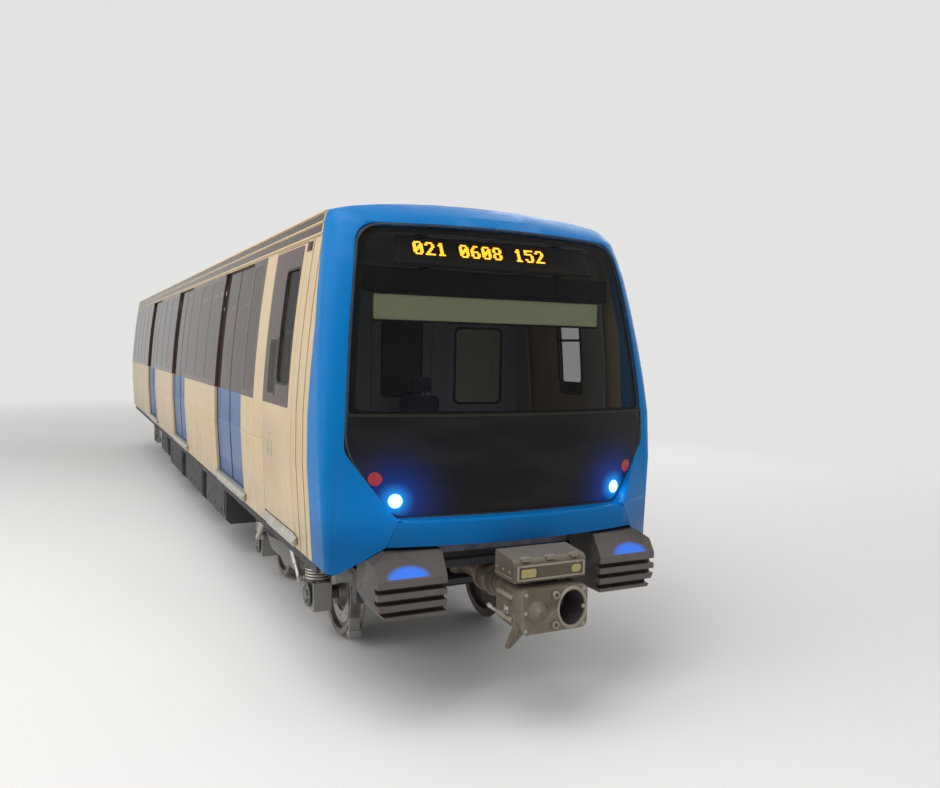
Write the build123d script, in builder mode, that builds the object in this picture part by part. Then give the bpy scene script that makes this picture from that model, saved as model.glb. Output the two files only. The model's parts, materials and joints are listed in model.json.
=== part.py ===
"""Metro car: the leading car of a train, with its cab, doors, bogies and couplers.

Millimetres. +Z is up, the cab faces -Y, and +X is the right-hand side seen from the front.
The origin is on the floor under the middle of the car: z = 0 is at the tips of the wheel flanges.
"""
from math import sqrt
from build123d import *
import os

os.makedirs("parts", exist_ok=True)

on_floor = (Align.CENTER, Align.CENTER, Align.MIN)
hung = (Align.CENTER, Align.CENTER, Align.MAX)

# Running gear
flange_height = 30
wheel_radius = 390
axle_height = flange_height + wheel_radius
wheelbase = 2100
bogie_centres = {"front": -5800, "rear": 5600}

# Body section: half width at each height
body_bottom = 1060
floor_top = 1170
waist_low = 1780
waist_high = 2160
window_mid = 2787
window_top = 3490
roof_edge = 3693
roof_top = 3820
half_at_bottom = 1405
half_at_waist = 1450
half_at_window_mid = 1403
half_at_roof_edge = 1276

# Walls, from the outer face inwards
skin_thick = 30
leaf_inset = 37
leaf_thick = 36
lining_inset = 80
lining_thick = 25

# Lengths along the car
nose_y = -8720
chin_y = -8845
mask_joint_y = -8110
mask_top_joint_y = -7930
mask_bend_z = 2820
bulkhead_y = -6330
bulkhead_thick = 40
rear_end_y = 8700
end_wall_thick = 60
door_centres = (-4800, -550, 3700)
door_width = 1600
door_bottom = 1180
door_top = 3520
far = 5000

# Cab side door
cab_hinge_x = 1250
cab_hinge_y = -7620
cab_door_reach = 1042
cab_door_thick = 40
cab_door_gap = 7
cab_door_top = window_top - cab_door_gap
cab_post_width = 60
cab_doorway_end = cab_hinge_y + cab_door_reach - cab_post_width

# Nose
plan_radius = 4300
mask_thick = 60
glass_thick = 20
glass_sill = 2180
glass_rebate = 25

# Couplers
coupler_z = 860
coupler_pivot = 7800
cone_tip_y = -9350
head_face = -9270
drawbar_z = 830
drawbar_face = 9200


def save(builder, name):
    builder.part.label = name
    export_step(builder.part, f"parts/{name}.step")


def across(y):
    """A sketch plane across the car at y; it extrudes towards the front."""
    return Plane.XZ.offset(-y)


upper_wall = Edge.make_three_point_arc((half_at_waist, waist_high), (half_at_window_mid, window_mid),
                                       (half_at_roof_edge, roof_edge))


def half_width(z):
    """The body's half width at a height."""
    if z > waist_high:
        centre = upper_wall.arc_center
        return centre.X + sqrt(upper_wall.radius ** 2 - (z - centre.Y) ** 2)
    slope = (half_at_waist - half_at_bottom) / (waist_low - body_bottom)
    return min(half_at_waist, half_at_bottom + slope * (z - body_bottom))


def outline_edge(inset, side=1):
    """One side of the body section, moved inwards by inset; it returns its two ends."""
    bottom = (side * (half_at_bottom - inset), body_bottom)
    low = (side * (half_at_waist - inset), waist_low)
    high = (side * (half_at_waist - inset), waist_high)
    mid = (side * (half_at_window_mid - inset), window_mid)
    top = (side * (half_at_roof_edge - inset), roof_edge)
    Line(bottom, low)
    Line(low, high)
    ThreePointArc(high, mid, top)
    return bottom, top


def outline_pair(inset):
    """Both sides of the body section and its bottom; it returns the two top ends."""
    right_bottom, right_top = outline_edge(inset)
    left_bottom, left_top = outline_edge(inset, -1)
    Line(right_bottom, left_bottom)
    return right_top, left_top


def side_slab(y_start, y_end, z_low, z_high, inset, thick):
    """A piece of the right-hand side wall, as a solid kept out of the builder around it."""
    with BuildPart(mode=Mode.PRIVATE) as slab:
        with BuildSketch(across(y_end)):
            with BuildLine():
                outer_bottom, outer_top = outline_edge(inset)
                inner_bottom, inner_top = outline_edge(inset + thick)
                Line(outer_bottom, inner_bottom)
                Line(outer_top, inner_top)
            make_face()
            with Locations((0, (z_low + z_high) / 2)):
                Rectangle(2 * far, z_high - z_low, mode=Mode.INTERSECT)
        extrude(amount=y_end - y_start)
    return slab.part


def both_sides(piece):
    """Adds a right-hand piece and its left-hand mirror image to the builder around it."""
    add(piece)
    add(piece.mirror(Plane.YZ))


def window_cutter(y_mid, z_mid, width, height, radius):
    """A rounded block right through the car, from side to side."""
    with BuildPart(mode=Mode.PRIVATE) as cutter:
        with BuildSketch(Plane.YZ.offset(-far / 2)):
            with Locations((y_mid, z_mid)):
                RectangleRounded(width, height, radius)
        extrude(amount=far)
    return cutter.part


def ahead_of_joint():
    """Everything ahead of the slanted joint behind the nose mask."""
    front = chin_y - 900
    with BuildPart(mode=Mode.PRIVATE) as block:
        with BuildSketch(Plane.YZ.offset(-far / 2)):
            with BuildLine():
                Polyline((front, 0), (mask_joint_y, 0), (mask_joint_y, mask_bend_z),
                         (mask_top_joint_y, roof_edge), (mask_top_joint_y, far), (front, far),
                         close=True)
            make_face()
        extrude(amount=far)
    return block.part


def cab_door_sweep(clearance):
    """The round block that the cab door's free edge turns in."""
    with BuildPart(mode=Mode.PRIVATE) as drum:
        with Locations((cab_hinge_x, cab_hinge_y, 0)):
            Cylinder(cab_door_reach + clearance, far, align=on_floor)
        split(bisect_by=Plane.XZ.offset(-cab_hinge_y), keep=Keep.BOTTOM)
    return drum.part


ahead = ahead_of_joint()
door_sweep = cab_door_sweep(cab_door_gap)

# Side walls between the doorways
half_door = door_width / 2
first_door, second_door, third_door = door_centres
window_height = 1190
window_radius = 70
window_z = (waist_high + window_top) / 2
pillar = 70
panel_seam = 3
band_start = -6190
rear_bay_end = 8130
wall_end = rear_end_y - end_wall_thick


def even_windows(start, end, count):
    """Windows of one width, spread evenly between two pillars."""
    width = (end - start - pillar * (count + 1)) / count
    return [(start + pillar + width / 2 + n * (width + pillar), width) for n in range(count)]


# columns: start, end, windows as (centre, width)
band_bays = [(band_start, first_door - half_door, [(-5900, 420)])]
for start, end, last_pillar, count in (
        (first_door + half_door, second_door - half_door, second_door - half_door, 3),
        (second_door + half_door, third_door - half_door, third_door - half_door, 3),
        (third_door + half_door, wall_end, rear_bay_end, 4)):
    band_bays.append((start, end, even_windows(start, last_pillar, count)))

# Cream bays beside the cab door have no dark band: start, end
cab_bays = [(mask_joint_y, cab_hinge_y - cab_door_gap), (cab_doorway_end, band_start - panel_seam)]

# Two upright grooves behind the mask, and the long groove that runs at the waist
cab_grooves = (-7985, -7785)
cab_groove_width = 26
cab_groove_depth = 9
waist_groove_z = 1805
waist_groove = (6, 4)


def waist_groove_cut(start, end, inset):
    height, depth = waist_groove
    return side_slab(start, end, waist_groove_z - height / 2, waist_groove_z + height / 2,
                     inset, depth)


with BuildPart() as side_panels:
    for start, end in cab_bays:
        panel = side_slab(start, end, body_bottom, window_top, 0, skin_thick)
        panel -= ahead
        panel -= door_sweep
        if start == mask_joint_y:
            for y in cab_grooves:
                panel -= side_slab(y - cab_groove_width / 2, y + cab_groove_width / 2,
                                   body_bottom, window_top, 0, cab_groove_depth)
        else:
            panel -= waist_groove_cut(start, end, 0)
        both_sides(panel)
    for start, end, windows in band_bays:
        panel = side_slab(start, end, body_bottom, waist_high, 0, skin_thick)
        panel -= waist_groove_cut(start, end, 0)
        both_sides(panel)
save(side_panels, "side_panels")

with BuildPart() as window_band:
    for start, end, windows in band_bays:
        band = side_slab(start, end, waist_high, window_top, 0, skin_thick)
        for centre, width in windows:
            band -= window_cutter(centre, window_z, width, window_height, window_radius)
        both_sides(band)
save(window_band, "window_band")

# Panes flush in the window band
pane_inset = 2
pane_thick = 10
with BuildPart() as side_windows:
    for start, end, windows in band_bays:
        for centre, width in windows:
            pane = side_slab(centre - width / 2, centre + width / 2, waist_high, window_top,
                             pane_inset, pane_thick)
            pane &= window_cutter(centre, window_z, width, window_height, window_radius)
            both_sides(pane)
save(side_windows, "side_windows")

lining_top = 3530
lining_front_y = mask_joint_y + 200
with BuildPart() as side_lining:
    lining_bays = [(lining_front_y, cab_hinge_y - cab_door_gap, [])]
    lining_bays += [(cab_doorway_end, band_bays[0][1], band_bays[0][2])] + band_bays[1:]
    for start, end, windows in lining_bays:
        lining = side_slab(start, end, floor_top, lining_top, lining_inset, lining_thick)
        if start < bulkhead_y:
            lining -= door_sweep
        for centre, width in windows:
            lining -= window_cutter(centre, window_z, width, window_height, window_radius)
        both_sides(lining)
save(side_lining, "side_lining")

# Roof edge rails, each with three gutter ribs
gutter_heights = (3512, 3602, 3682)
gutter_height = 12
gutter_proud = 12
with BuildPart() as cantrails:
    rail = side_slab(mask_joint_y, wall_end, window_top, roof_edge, 0, skin_thick)
    for z in gutter_heights:
        rail += side_slab(mask_joint_y, wall_end, z - gutter_height / 2, z + gutter_height / 2,
                          -gutter_proud, gutter_proud + 1)
    rail -= ahead
    both_sides(rail)
save(cantrails, "cantrails")

# Thresholds, each with a sloping foot plate outside: start, end of each doorway
sill_proud = 10
plate_reach = 1449
plate_section = [(floor_top - 8, 0), (1132, 1), (1114, 1), (1084, 0)]
plate_overrun = 90
doorways = [(cab_hinge_y - cab_door_gap, cab_doorway_end)]
doorways += [(centre - half_door, centre + half_door) for centre in door_centres]
with BuildPart() as door_sills:
    for start, end in doorways:
        sill = side_slab(start, end, body_bottom, floor_top, -sill_proud, skin_thick + sill_proud)
        with BuildPart(mode=Mode.PRIVATE) as foot_plate:
            with BuildSketch(across(end + plate_overrun)):
                with BuildLine():
                    Polyline([(plate_reach if outer else half_width(z) + sill_proud - 1, z)
                              for z, outer in plate_section], close=True)
                make_face()
            extrude(amount=end - start + 2 * plate_overrun)
        both_sides(sill + foot_plate.part)
save(door_sills, "door_sills")

# Roof and ceiling
shoulder_x = 1140
shoulder_z = 3720
roof_thick = 55
roof_inner_x = half_at_roof_edge - 60
roof_inner_z = roof_top - roof_thick
with BuildPart() as roof:
    with BuildSketch(across(rear_end_y)):
        with BuildLine():
            Line((half_at_roof_edge, roof_edge), (shoulder_x, shoulder_z))
            ThreePointArc((shoulder_x, shoulder_z), (0, roof_top), (-shoulder_x, shoulder_z))
            Line((-shoulder_x, shoulder_z), (-half_at_roof_edge, roof_edge))
            Line((-half_at_roof_edge, roof_edge), (-roof_inner_x, roof_edge))
            ThreePointArc((-roof_inner_x, roof_edge), (0, roof_inner_z), (roof_inner_x, roof_edge))
            Line((roof_inner_x, roof_edge), (half_at_roof_edge, roof_edge))
        make_face()
    extrude(amount=rear_end_y - mask_top_joint_y)
save(roof, "roof")

ceiling_z = lining_top
ceiling_thick = 20
ceiling_half = 1190
ceiling_tip_half = 800
ceiling_tip_y = -8180
duct_half = 300
duct_depth = 25
with BuildPart() as ceiling:
    with BuildSketch(Plane.XY.offset(ceiling_z)):
        with BuildLine():
            Polyline((-ceiling_half, wall_end), (ceiling_half, wall_end),
                     (ceiling_half, mask_top_joint_y), (ceiling_tip_half, ceiling_tip_y),
                     (-ceiling_tip_half, ceiling_tip_y), (-ceiling_half, mask_top_joint_y),
                     close=True)
        make_face()
    extrude(amount=ceiling_thick)
    duct_start = bulkhead_y + bulkhead_thick + 100
    with Locations((0, (duct_start + wall_end - 100) / 2, ceiling_z)):
        Box(2 * duct_half, wall_end - 100 - duct_start, duct_depth, align=hung)
save(ceiling, "ceiling")

# Floor and underframe
deck_thick = 50
floor_half = half_at_bottom - skin_thick
cab_floor_half = 1300
cab_floor_tip = 1080
floor_front_y = -8400
with BuildPart() as floor:
    with BuildSketch(Plane.XY.offset(body_bottom + deck_thick)):
        with BuildLine():
            Polyline((-floor_half, wall_end), (floor_half, wall_end),
                     (floor_half, mask_joint_y), (cab_floor_half, mask_joint_y),
                     (cab_floor_tip, floor_front_y), (-cab_floor_tip, floor_front_y),
                     (-cab_floor_half, mask_joint_y), (-floor_half, mask_joint_y), close=True)
        make_face()
    extrude(amount=floor_top - body_bottom - deck_thick)
save(floor, "floor")

bolster_size = (2500, 700)
bolster_bottom = 1000
beam_bottom = 940
beam_width = 90
solebar_x = 1335
solebar_thick = 36
solebar_bottom = 965
jacking_x = 1240
jacking_z = 980
jacking_pad = (180, 240)
jacking_points = (-4080, 3900)
cross_members = (-7350, -3600, -2200, -800, 600, 2000, 3400, 7350, 8300)
with BuildPart() as underframe:
    deck_length = wall_end - mask_joint_y
    deck_middle = (wall_end + mask_joint_y) / 2
    with Locations((0, deck_middle, body_bottom)):
        Box(2 * floor_half, deck_length, deck_thick, align=on_floor)
    with Locations((0, (floor_front_y + mask_joint_y) / 2, body_bottom)):
        Box(2 * cab_floor_tip, mask_joint_y - floor_front_y, deck_thick, align=on_floor)
    for side in (1, -1):
        with Locations((side * (solebar_x + solebar_thick / 2), deck_middle, solebar_bottom)):
            Box(solebar_thick, deck_length, body_bottom - solebar_bottom, align=on_floor)
    for centre in bogie_centres.values():
        with Locations((0, centre, bolster_bottom)):
            Box(*bolster_size, body_bottom - bolster_bottom, align=on_floor)
    for y in cross_members:
        with Locations((0, y, beam_bottom)):
            Box(2 * solebar_x - 400, beam_width, body_bottom - beam_bottom, align=on_floor)
    for y in jacking_points:
        with Locations((jacking_x, y, jacking_z), (-jacking_x, y, jacking_z)):
            Box(*jacking_pad, body_bottom - jacking_z, align=on_floor)
save(underframe, "underframe")


# Nose: plan sections, each a wide front arc, two corner arcs and straight sides
# columns: height, how far its front lies behind nose_y on the centre line, corner radius
nose_sections = [
    (1000, -5, 110), (waist_low, -1, 110), (waist_high, 10, 160), (2450, 51, 200), (2740, 106, 230),
    (3030, 170, 260), (3300, 240, 280), (3480, 308, 300), (3600, 374, 300), (3690, 487, 300),
    (3760, 620, 280), (3810, 760, 280), (3850, 916, 280),
]


def nose_body(set_back):
    """The solid nose, or its inner face when set back."""
    rear = mask_top_joint_y + 800
    with BuildPart(mode=Mode.PRIVATE) as nose:
        for height, lean, corner in nose_sections:
            half_x = half_width(height) - set_back
            front = nose_y + lean + set_back
            centre_y = front + plan_radius
            corner_x = half_x - corner
            corner_y = centre_y - sqrt((plan_radius - corner) ** 2 - corner_x ** 2)
            reach = plan_radius / (plan_radius - corner)
            meet_x = corner_x * reach
            meet_y = centre_y + (corner_y - centre_y) * reach
            lean_x = corner_x + corner * sqrt(0.5)
            lean_y = corner_y - corner * sqrt(0.5)
            with BuildSketch(Plane.XY.offset(height)):
                with BuildLine():
                    ThreePointArc((-meet_x, meet_y), (0, front), (meet_x, meet_y))
                    ThreePointArc((meet_x, meet_y), (lean_x, lean_y), (half_x, corner_y))
                    Polyline((half_x, corner_y), (half_x, rear), (-half_x, rear),
                             (-half_x, corner_y))
                    ThreePointArc((-half_x, corner_y), (-lean_x, lean_y), (-meet_x, meet_y))
                make_face()
        loft(ruled=True)
    return nose.part


def under_roof():
    """Everything under the roof's own outline, run along the nose."""
    eaves = half_at_roof_edge + (half_at_roof_edge - shoulder_x)
    eaves_z = roof_edge - (shoulder_z - roof_edge)
    with BuildPart(mode=Mode.PRIVATE) as prism:
        with BuildSketch(across(mask_top_joint_y + 900)):
            with BuildLine():
                Polyline((shoulder_x, shoulder_z), (eaves, eaves_z), (far / 2, eaves_z),
                         (far / 2, body_bottom), (-far / 2, body_bottom), (-far / 2, eaves_z),
                         (-eaves, eaves_z), (-shoulder_x, shoulder_z))
                ThreePointArc((shoulder_x, shoulder_z), (0, roof_top), (-shoulder_x, shoulder_z))
            make_face()
        extrude(amount=2200)
    return prism.part


# Black front panel, seen from the front: points as (x, z), then the corners' radii
panel_top = (1129, 3580)
panel_bow = (1243, 2760)
panel_bend = (1300, 1930)
panel_low = (966, 1455)
panel_crown_z = 3602
panel_radii = [(panel_top, 170), (panel_bend, 150), (panel_low, 60)]


def mirrored(point):
    return (-point[0], point[1])


def panel_prism(shrink):
    """The panel's outline run through the nose."""
    with BuildPart(mode=Mode.PRIVATE) as prism:
        with BuildSketch(across(mask_joint_y)) as face:
            with BuildLine():
                ThreePointArc(mirrored(panel_top), (0, panel_crown_z), panel_top)
                ThreePointArc(panel_top, panel_bow, panel_bend)
                Polyline(panel_bend, panel_low, mirrored(panel_low), mirrored(panel_bend))
                ThreePointArc(mirrored(panel_bend), mirrored(panel_bow), mirrored(panel_top))
            make_face()
            for (x, z), radius in panel_radii:
                near = [v for v in face.vertices() if abs(abs(v.X) - x) < 1 and abs(v.Y - z) < 1]
                fillet(near, radius)
            if shrink:
                offset(amount=-shrink)
        extrude(amount=1000)
    return prism.part


# Lip and cheeks: plan sections of the chin, which fades into the nose at the panel's bend
# columns: height, front on the centre line, half width of the lip, y at the cheek's outer end
chin_sections = [
    (1000, chin_y, 1172, -8512),
    (panel_low[1], chin_y, panel_low[0], -8512),
    (panel_bend[1], nose_y + 20, 1100, -8490),
]
cheek_end_x = 1350
chin_back = ((1380, -8400), (1380, -8300))


def chin_body():
    """The solid chin: a wide front arc between two flat, angled cheeks."""
    with BuildPart(mode=Mode.PRIVATE) as chin:
        for height, front, lip_half, cheek_y in chin_sections:
            lip_y = front + plan_radius - sqrt(plan_radius ** 2 - lip_half ** 2)
            right = [(lip_half, lip_y), (cheek_end_x, cheek_y), *chin_back]
            with BuildSketch(Plane.XY.offset(height)):
                with BuildLine():
                    ThreePointArc((-lip_half, lip_y), (0, front), (lip_half, lip_y))
                    Polyline(*right, *[mirrored(point) for point in reversed(right)])
                make_face()
        loft(ruled=True)
    return chin.part


lip_bottom = 1270
lip_top = panel_low[1]
lip_foot_x = 1050
lip_gap = 3


def lip_prism(gap):
    """The lip's outline seen from the front, run through the nose."""
    with BuildPart(mode=Mode.PRIVATE) as prism:
        with BuildSketch(across(mask_joint_y)):
            with BuildLine():
                Polyline((lip_foot_x - gap, lip_bottom), (panel_low[0] - gap, lip_top),
                         (gap - panel_low[0], lip_top), (gap - lip_foot_x, lip_bottom), close=True)
            make_face()
        extrude(amount=1000)
    return prism.part


cheek_tip_x = 1370
cheek_tip_z = 1040


def below_mask(drop):
    """Everything under the mask's lower edge, lowered by drop."""
    right = [(lip_foot_x, lip_bottom - drop), (cheek_tip_x, cheek_tip_z - drop),
             (far / 2, cheek_tip_z - drop), (far / 2, 0)]
    with BuildPart(mode=Mode.PRIVATE) as block:
        with BuildSketch(across(mask_joint_y - 60)):
            with BuildLine():
                Polyline(*right, *[mirrored(point) for point in reversed(right)], close=True)
            make_face()
        extrude(amount=1200)
    return block.part


# Lamps, columns: name, x, z, radius
lamps = [("headlamps", 948, 1576, 54), ("tail_lamps", 1090, 1736, 50)]
lamp_proud = 6
lamp_depth = 110

with BuildPart() as lamp_holes:
    for name, x, z, radius in lamps:
        with BuildSketch(across(mask_joint_y)):
            with Locations((x, z), (-x, z)):
                Circle(radius)
        extrude(amount=1000)

nose_outer = nose_body(0)
panel_full = (nose_outer & panel_prism(0)) - Pos(0, glass_thick, 0) * nose_outer
chin_solid = chin_body()
cheeks = chin_solid - nose_body(mask_thick / 2) - panel_prism(0) - lip_prism(0)

with BuildPart() as front_mask:
    add(nose_outer & under_roof())
    add(nose_body(mask_thick), mode=Mode.SUBTRACT)
    add(ahead, mode=Mode.INTERSECT)
    add(panel_full, mode=Mode.SUBTRACT)
    add(cheeks)
    add(panel_prism(glass_rebate), mode=Mode.SUBTRACT)
    add(below_mask(0), mode=Mode.SUBTRACT)
    add(lamp_holes.part, mode=Mode.SUBTRACT)
save(front_mask, "front_mask")

with BuildPart() as windscreen:
    add(panel_full)
    split(bisect_by=Plane.XY.offset(glass_sill), keep=Keep.TOP)
save(windscreen, "windscreen")

with BuildPart() as front_apron:
    add(panel_full)
    split(bisect_by=Plane.XY.offset(glass_sill), keep=Keep.BOTTOM)
    add(lamp_holes.part, mode=Mode.SUBTRACT)
save(front_apron, "front_apron")

for name, x, z, radius in lamps:
    surface_y = nose_y + plan_radius - sqrt(plan_radius ** 2 - x ** 2)
    with BuildPart() as lamp:
        with BuildSketch(across(surface_y + lamp_depth)):
            with Locations((x, z), (-x, z)):
                Circle(radius)
        extrude(amount=400)
        add(Pos(0, -lamp_proud, 0) * nose_outer, mode=Mode.INTERSECT)
    save(lamp, name)

lip_edge_radius = 26
with BuildPart() as lower_beam:
    add(chin_solid)
    add(lip_prism(lip_gap), mode=Mode.INTERSECT)
    add(nose_outer, mode=Mode.SUBTRACT)
    top_edges = lower_beam.edges().group_by(Axis.Z)[-1]
    fillet(top_edges.sort_by(Axis.Y)[0], lip_edge_radius)
save(lower_beam, "lower_beam")

# Destination display: a flat case that leans with the windscreen, on two ceiling brackets
display_low = (-8355, 3295)
display_high = (-8245, 3510)
display_low_half = 875
display_high_half = 830
display_thick = 50
display_recess = 8
display_rim = 28
bracket_x = 600
bracket_width = 60
bracket_section = [(-8235, 3430), (-8080, 3500), (-8080, ceiling_z), (-8235, ceiling_z)]
display_rise = display_high[1] - display_low[1]
display_lean = display_high[0] - display_low[0]
display_height = sqrt(display_rise ** 2 + display_lean ** 2)
display_plane = Plane(origin=(0, display_low[0], display_low[1]), x_dir=(1, 0, 0),
                      z_dir=(0, -display_rise, display_lean))
with BuildPart() as destination_display:
    with BuildSketch(display_plane):
        with BuildLine():
            Polyline((-display_low_half, 0), (display_low_half, 0),
                     (display_high_half, display_height), (-display_high_half, display_height),
                     close=True)
        make_face()
    extrude(amount=-display_thick)
    with BuildSketch(display_plane):
        with Locations((0, display_height / 2)):
            Rectangle(2 * (display_high_half - display_rim), display_height - 2 * display_rim)
    extrude(amount=-display_recess, mode=Mode.SUBTRACT)
    for x in (-bracket_x, bracket_x):
        with BuildSketch(Plane.YZ.offset(x - bracket_width / 2)):
            with BuildLine():
                Polyline(bracket_section, close=True)
            make_face()
        extrude(amount=bracket_width)
save(destination_display, "destination_display")

# Anti-climbers: ribbed blocks under the lip, each side of the coupler
block_inner = 650
block_outer = 1170
block_front = -8890
block_back = -8450
block_top = 1245
block_nose_z = 1080
block_foot = 806
block_slope = 110
block_tuck = (60, 110)
slot_heights = (1010, 930, 850)
slot_height = 36
slot_depth = 60
with BuildPart() as anti_climbers:
    with BuildSketch(Plane.YZ.offset(block_inner)):
        with BuildLine():
            Polyline((block_back, block_top), (block_front + block_slope, block_top),
                     (block_front, block_nose_z), (block_front, block_foot),
                     (block_back, block_foot), close=True)
        make_face()
        for z in slot_heights:
            with Locations((block_front, z)):
                SlotOverall(2 * slot_depth, slot_height, mode=Mode.SUBTRACT)
    extrude(amount=block_outer - block_inner)
    with BuildSketch(across(block_back)):
        with BuildLine():
            Polyline((block_inner, 0), (block_outer - block_tuck[0], 0),
                     (block_outer - block_tuck[0], block_foot),
                     (block_outer, block_foot + block_tuck[1]), (block_outer, far),
                     (block_inner, far), close=True)
        make_face()
    extrude(amount=1000, mode=Mode.INTERSECT)
    mirror(about=Plane.YZ)
    add(below_mask(8), mode=Mode.INTERSECT)
save(anti_climbers, "anti_climbers")

# Headstocks: the front one carries the anti-climbers, and both leave room for a coupler
headstock_width = 2340
headstock_gap = (1180, 140, 280)
shelf_bottom = 1000
rear_stock_bottom = 900
front_stock_y = block_back + 50
rear_stock_y = rear_end_y - 100
with BuildPart() as headstocks:
    with Locations((0, front_stock_y, block_foot)):
        Box(headstock_width, 100, body_bottom - block_foot, align=on_floor)
    with Locations((0, front_stock_y + 150, shelf_bottom)):
        Box(headstock_width, 200, body_bottom - shelf_bottom, align=on_floor)
    with Locations((0, rear_stock_y, rear_stock_bottom)):
        Box(headstock_width, 80, body_bottom - rear_stock_bottom, align=on_floor)
    for y in (front_stock_y, rear_stock_y):
        with Locations((0, y, coupler_z)):
            Box(*headstock_gap, mode=Mode.SUBTRACT)
save(headstocks, "headstocks")

# Coupler pockets under the deck: a jaw above and below each coupler's pin, and a back plate
pocket_size = (420, 360)
pin_half_height = 90
jaw_gap = 5
lower_jaw_thick = 40
back_plate = (420, 30)
with BuildPart() as coupler_pockets:
    for end, pin_z in ((-1, coupler_z), (1, drawbar_z)):
        y = end * coupler_pivot
        upper_jaw = pin_z + pin_half_height + jaw_gap
        lower_jaw = pin_z - pin_half_height - jaw_gap
        with Locations((0, y, upper_jaw)):
            Box(*pocket_size, body_bottom - upper_jaw, align=on_floor)
        with Locations((0, y, lower_jaw)):
            Box(*pocket_size, lower_jaw_thick, align=hung)
        with Locations((0, y - end * (pocket_size[1] - back_plate[1]) / 2,
                        lower_jaw - lower_jaw_thick)):
            Box(*back_plate, body_bottom - lower_jaw + lower_jaw_thick, align=on_floor)
save(coupler_pockets, "coupler_pockets")

# Front coupler: shank, head and electrical box swing together about a pin in the pocket
pin_radius = 110
shank_radius = 80
# columns: y of the rear end, length, radius
sleeves = [(-8180, 300, 100), (-8250, 30, 130), (-8410, 30, 130)]
head_depth = 400
head_back = head_face + head_depth
with BuildPart() as coupler_shank:
    with Locations((0, -coupler_pivot, coupler_z)):
        Cylinder(pin_radius, 2 * pin_half_height)
    shank_start = -coupler_pivot - 60
    with BuildSketch(across(shank_start)):
        with Locations((0, coupler_z)):
            Circle(shank_radius)
    extrude(amount=shank_start - head_back)
    for sleeve_y, length, radius in sleeves:
        with BuildSketch(across(sleeve_y)):
            with Locations((0, coupler_z)):
                Circle(radius)
        extrude(amount=length)
save(coupler_shank, "coupler_shank")

# Coupler head: body, face plate, funnel on the right, cone and guide horn on the left
head_z = 870
head_height = 310
head_width = 500
face_width = 540
face_thick = 105
face_back = head_face + face_thick
socket_x = 140
funnel_mouth = (105, 130)
funnel_floor = (60, 74)
funnel_depth = 190
cone_foot = 92
cone_tip = 34
horn_root = (-205, 770)
horn_end = (-390, 675)
with BuildPart() as coupler_head:
    with BuildSketch(across(head_back)):
        with Locations((0, head_z)):
            RectangleRounded(head_width, head_height, 60)
    with BuildSketch(across(face_back)):
        with Locations((0, head_z)):
            RectangleRounded(face_width, head_height, 50)
    loft()
    with BuildSketch(across(face_back)):
        with Locations((0, head_z)):
            RectangleRounded(face_width, head_height, 50)
    extrude(amount=face_thick)
    with BuildSketch(across(head_face)):
        with Locations((socket_x, head_z)):
            Ellipse(*funnel_mouth)
    with BuildSketch(across(head_face + funnel_depth)):
        with Locations((socket_x, head_z)):
            Ellipse(*funnel_floor)
    loft(mode=Mode.SUBTRACT)
    with BuildSketch(across(head_face + 10)):
        with Locations((-socket_x, head_z)):
            Circle(cone_foot)
    with BuildSketch(across(cone_tip_y)):
        with Locations((-socket_x, head_z)):
            Circle(cone_tip)
    loft()
    # The guide horn is a tapered arm that leans out to the left and down
    with BuildSketch(across(head_face + 90)):
        with Locations(horn_root):
            RectangleRounded(120, 90, 20)
    with BuildSketch(across(head_face - 35)):
        with Locations(horn_end):
            RectangleRounded(50, 34, 12)
    loft()
save(coupler_head, "coupler_head")

# Electrical box over the head, seen from the side as (y, z)
box_face = -9210
box_half = 295
box_bottom = 1064
box_section = [(box_face, box_bottom), (box_face, 1190), (box_face + 45, 1222),
               (box_face + 280, 1245), (box_face + 300, 1200), (box_face + 300, box_bottom)]
box_corner = 18
box_post_x = 150
box_post_y = box_face + 170
box_post_size = (70, 150)
with BuildPart() as coupler_electric_box:
    with BuildSketch(Plane.YZ.offset(-box_half)):
        with BuildLine():
            Polyline(box_section, close=True)
        make_face()
    extrude(amount=2 * box_half)
    ends = coupler_electric_box.edges().filter_by(GeomType.LINE).filter_by(Axis.Z)
    fillet(ends, box_corner)
    head_top = head_z + head_height / 2
    with Locations((box_post_x, box_post_y, head_top), (-box_post_x, box_post_y, head_top)):
        Box(*box_post_size, box_bottom - head_top + 10, align=on_floor)
save(coupler_electric_box, "coupler_electric_box")

drawbar_radius = 85
flange_radius = 170
flange_thick = 40
bolt_pitch = 200
bolt_hole = 14
with BuildPart() as rear_drawbar:
    with Locations((0, coupler_pivot, drawbar_z)):
        Cylinder(pin_radius, 2 * pin_half_height)
    with BuildSketch(across(drawbar_face - flange_thick)):
        with Locations((0, drawbar_z)):
            Circle(drawbar_radius)
    extrude(amount=drawbar_face - flange_thick - coupler_pivot - 60)
    with BuildSketch(across(drawbar_face)):
        with Locations((0, drawbar_z)):
            Circle(flange_radius)
            with GridLocations(bolt_pitch, bolt_pitch, 2, 2):
                Circle(bolt_hole, mode=Mode.SUBTRACT)
    extrude(amount=flange_thick)
save(rear_drawbar, "rear_drawbar")

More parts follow.
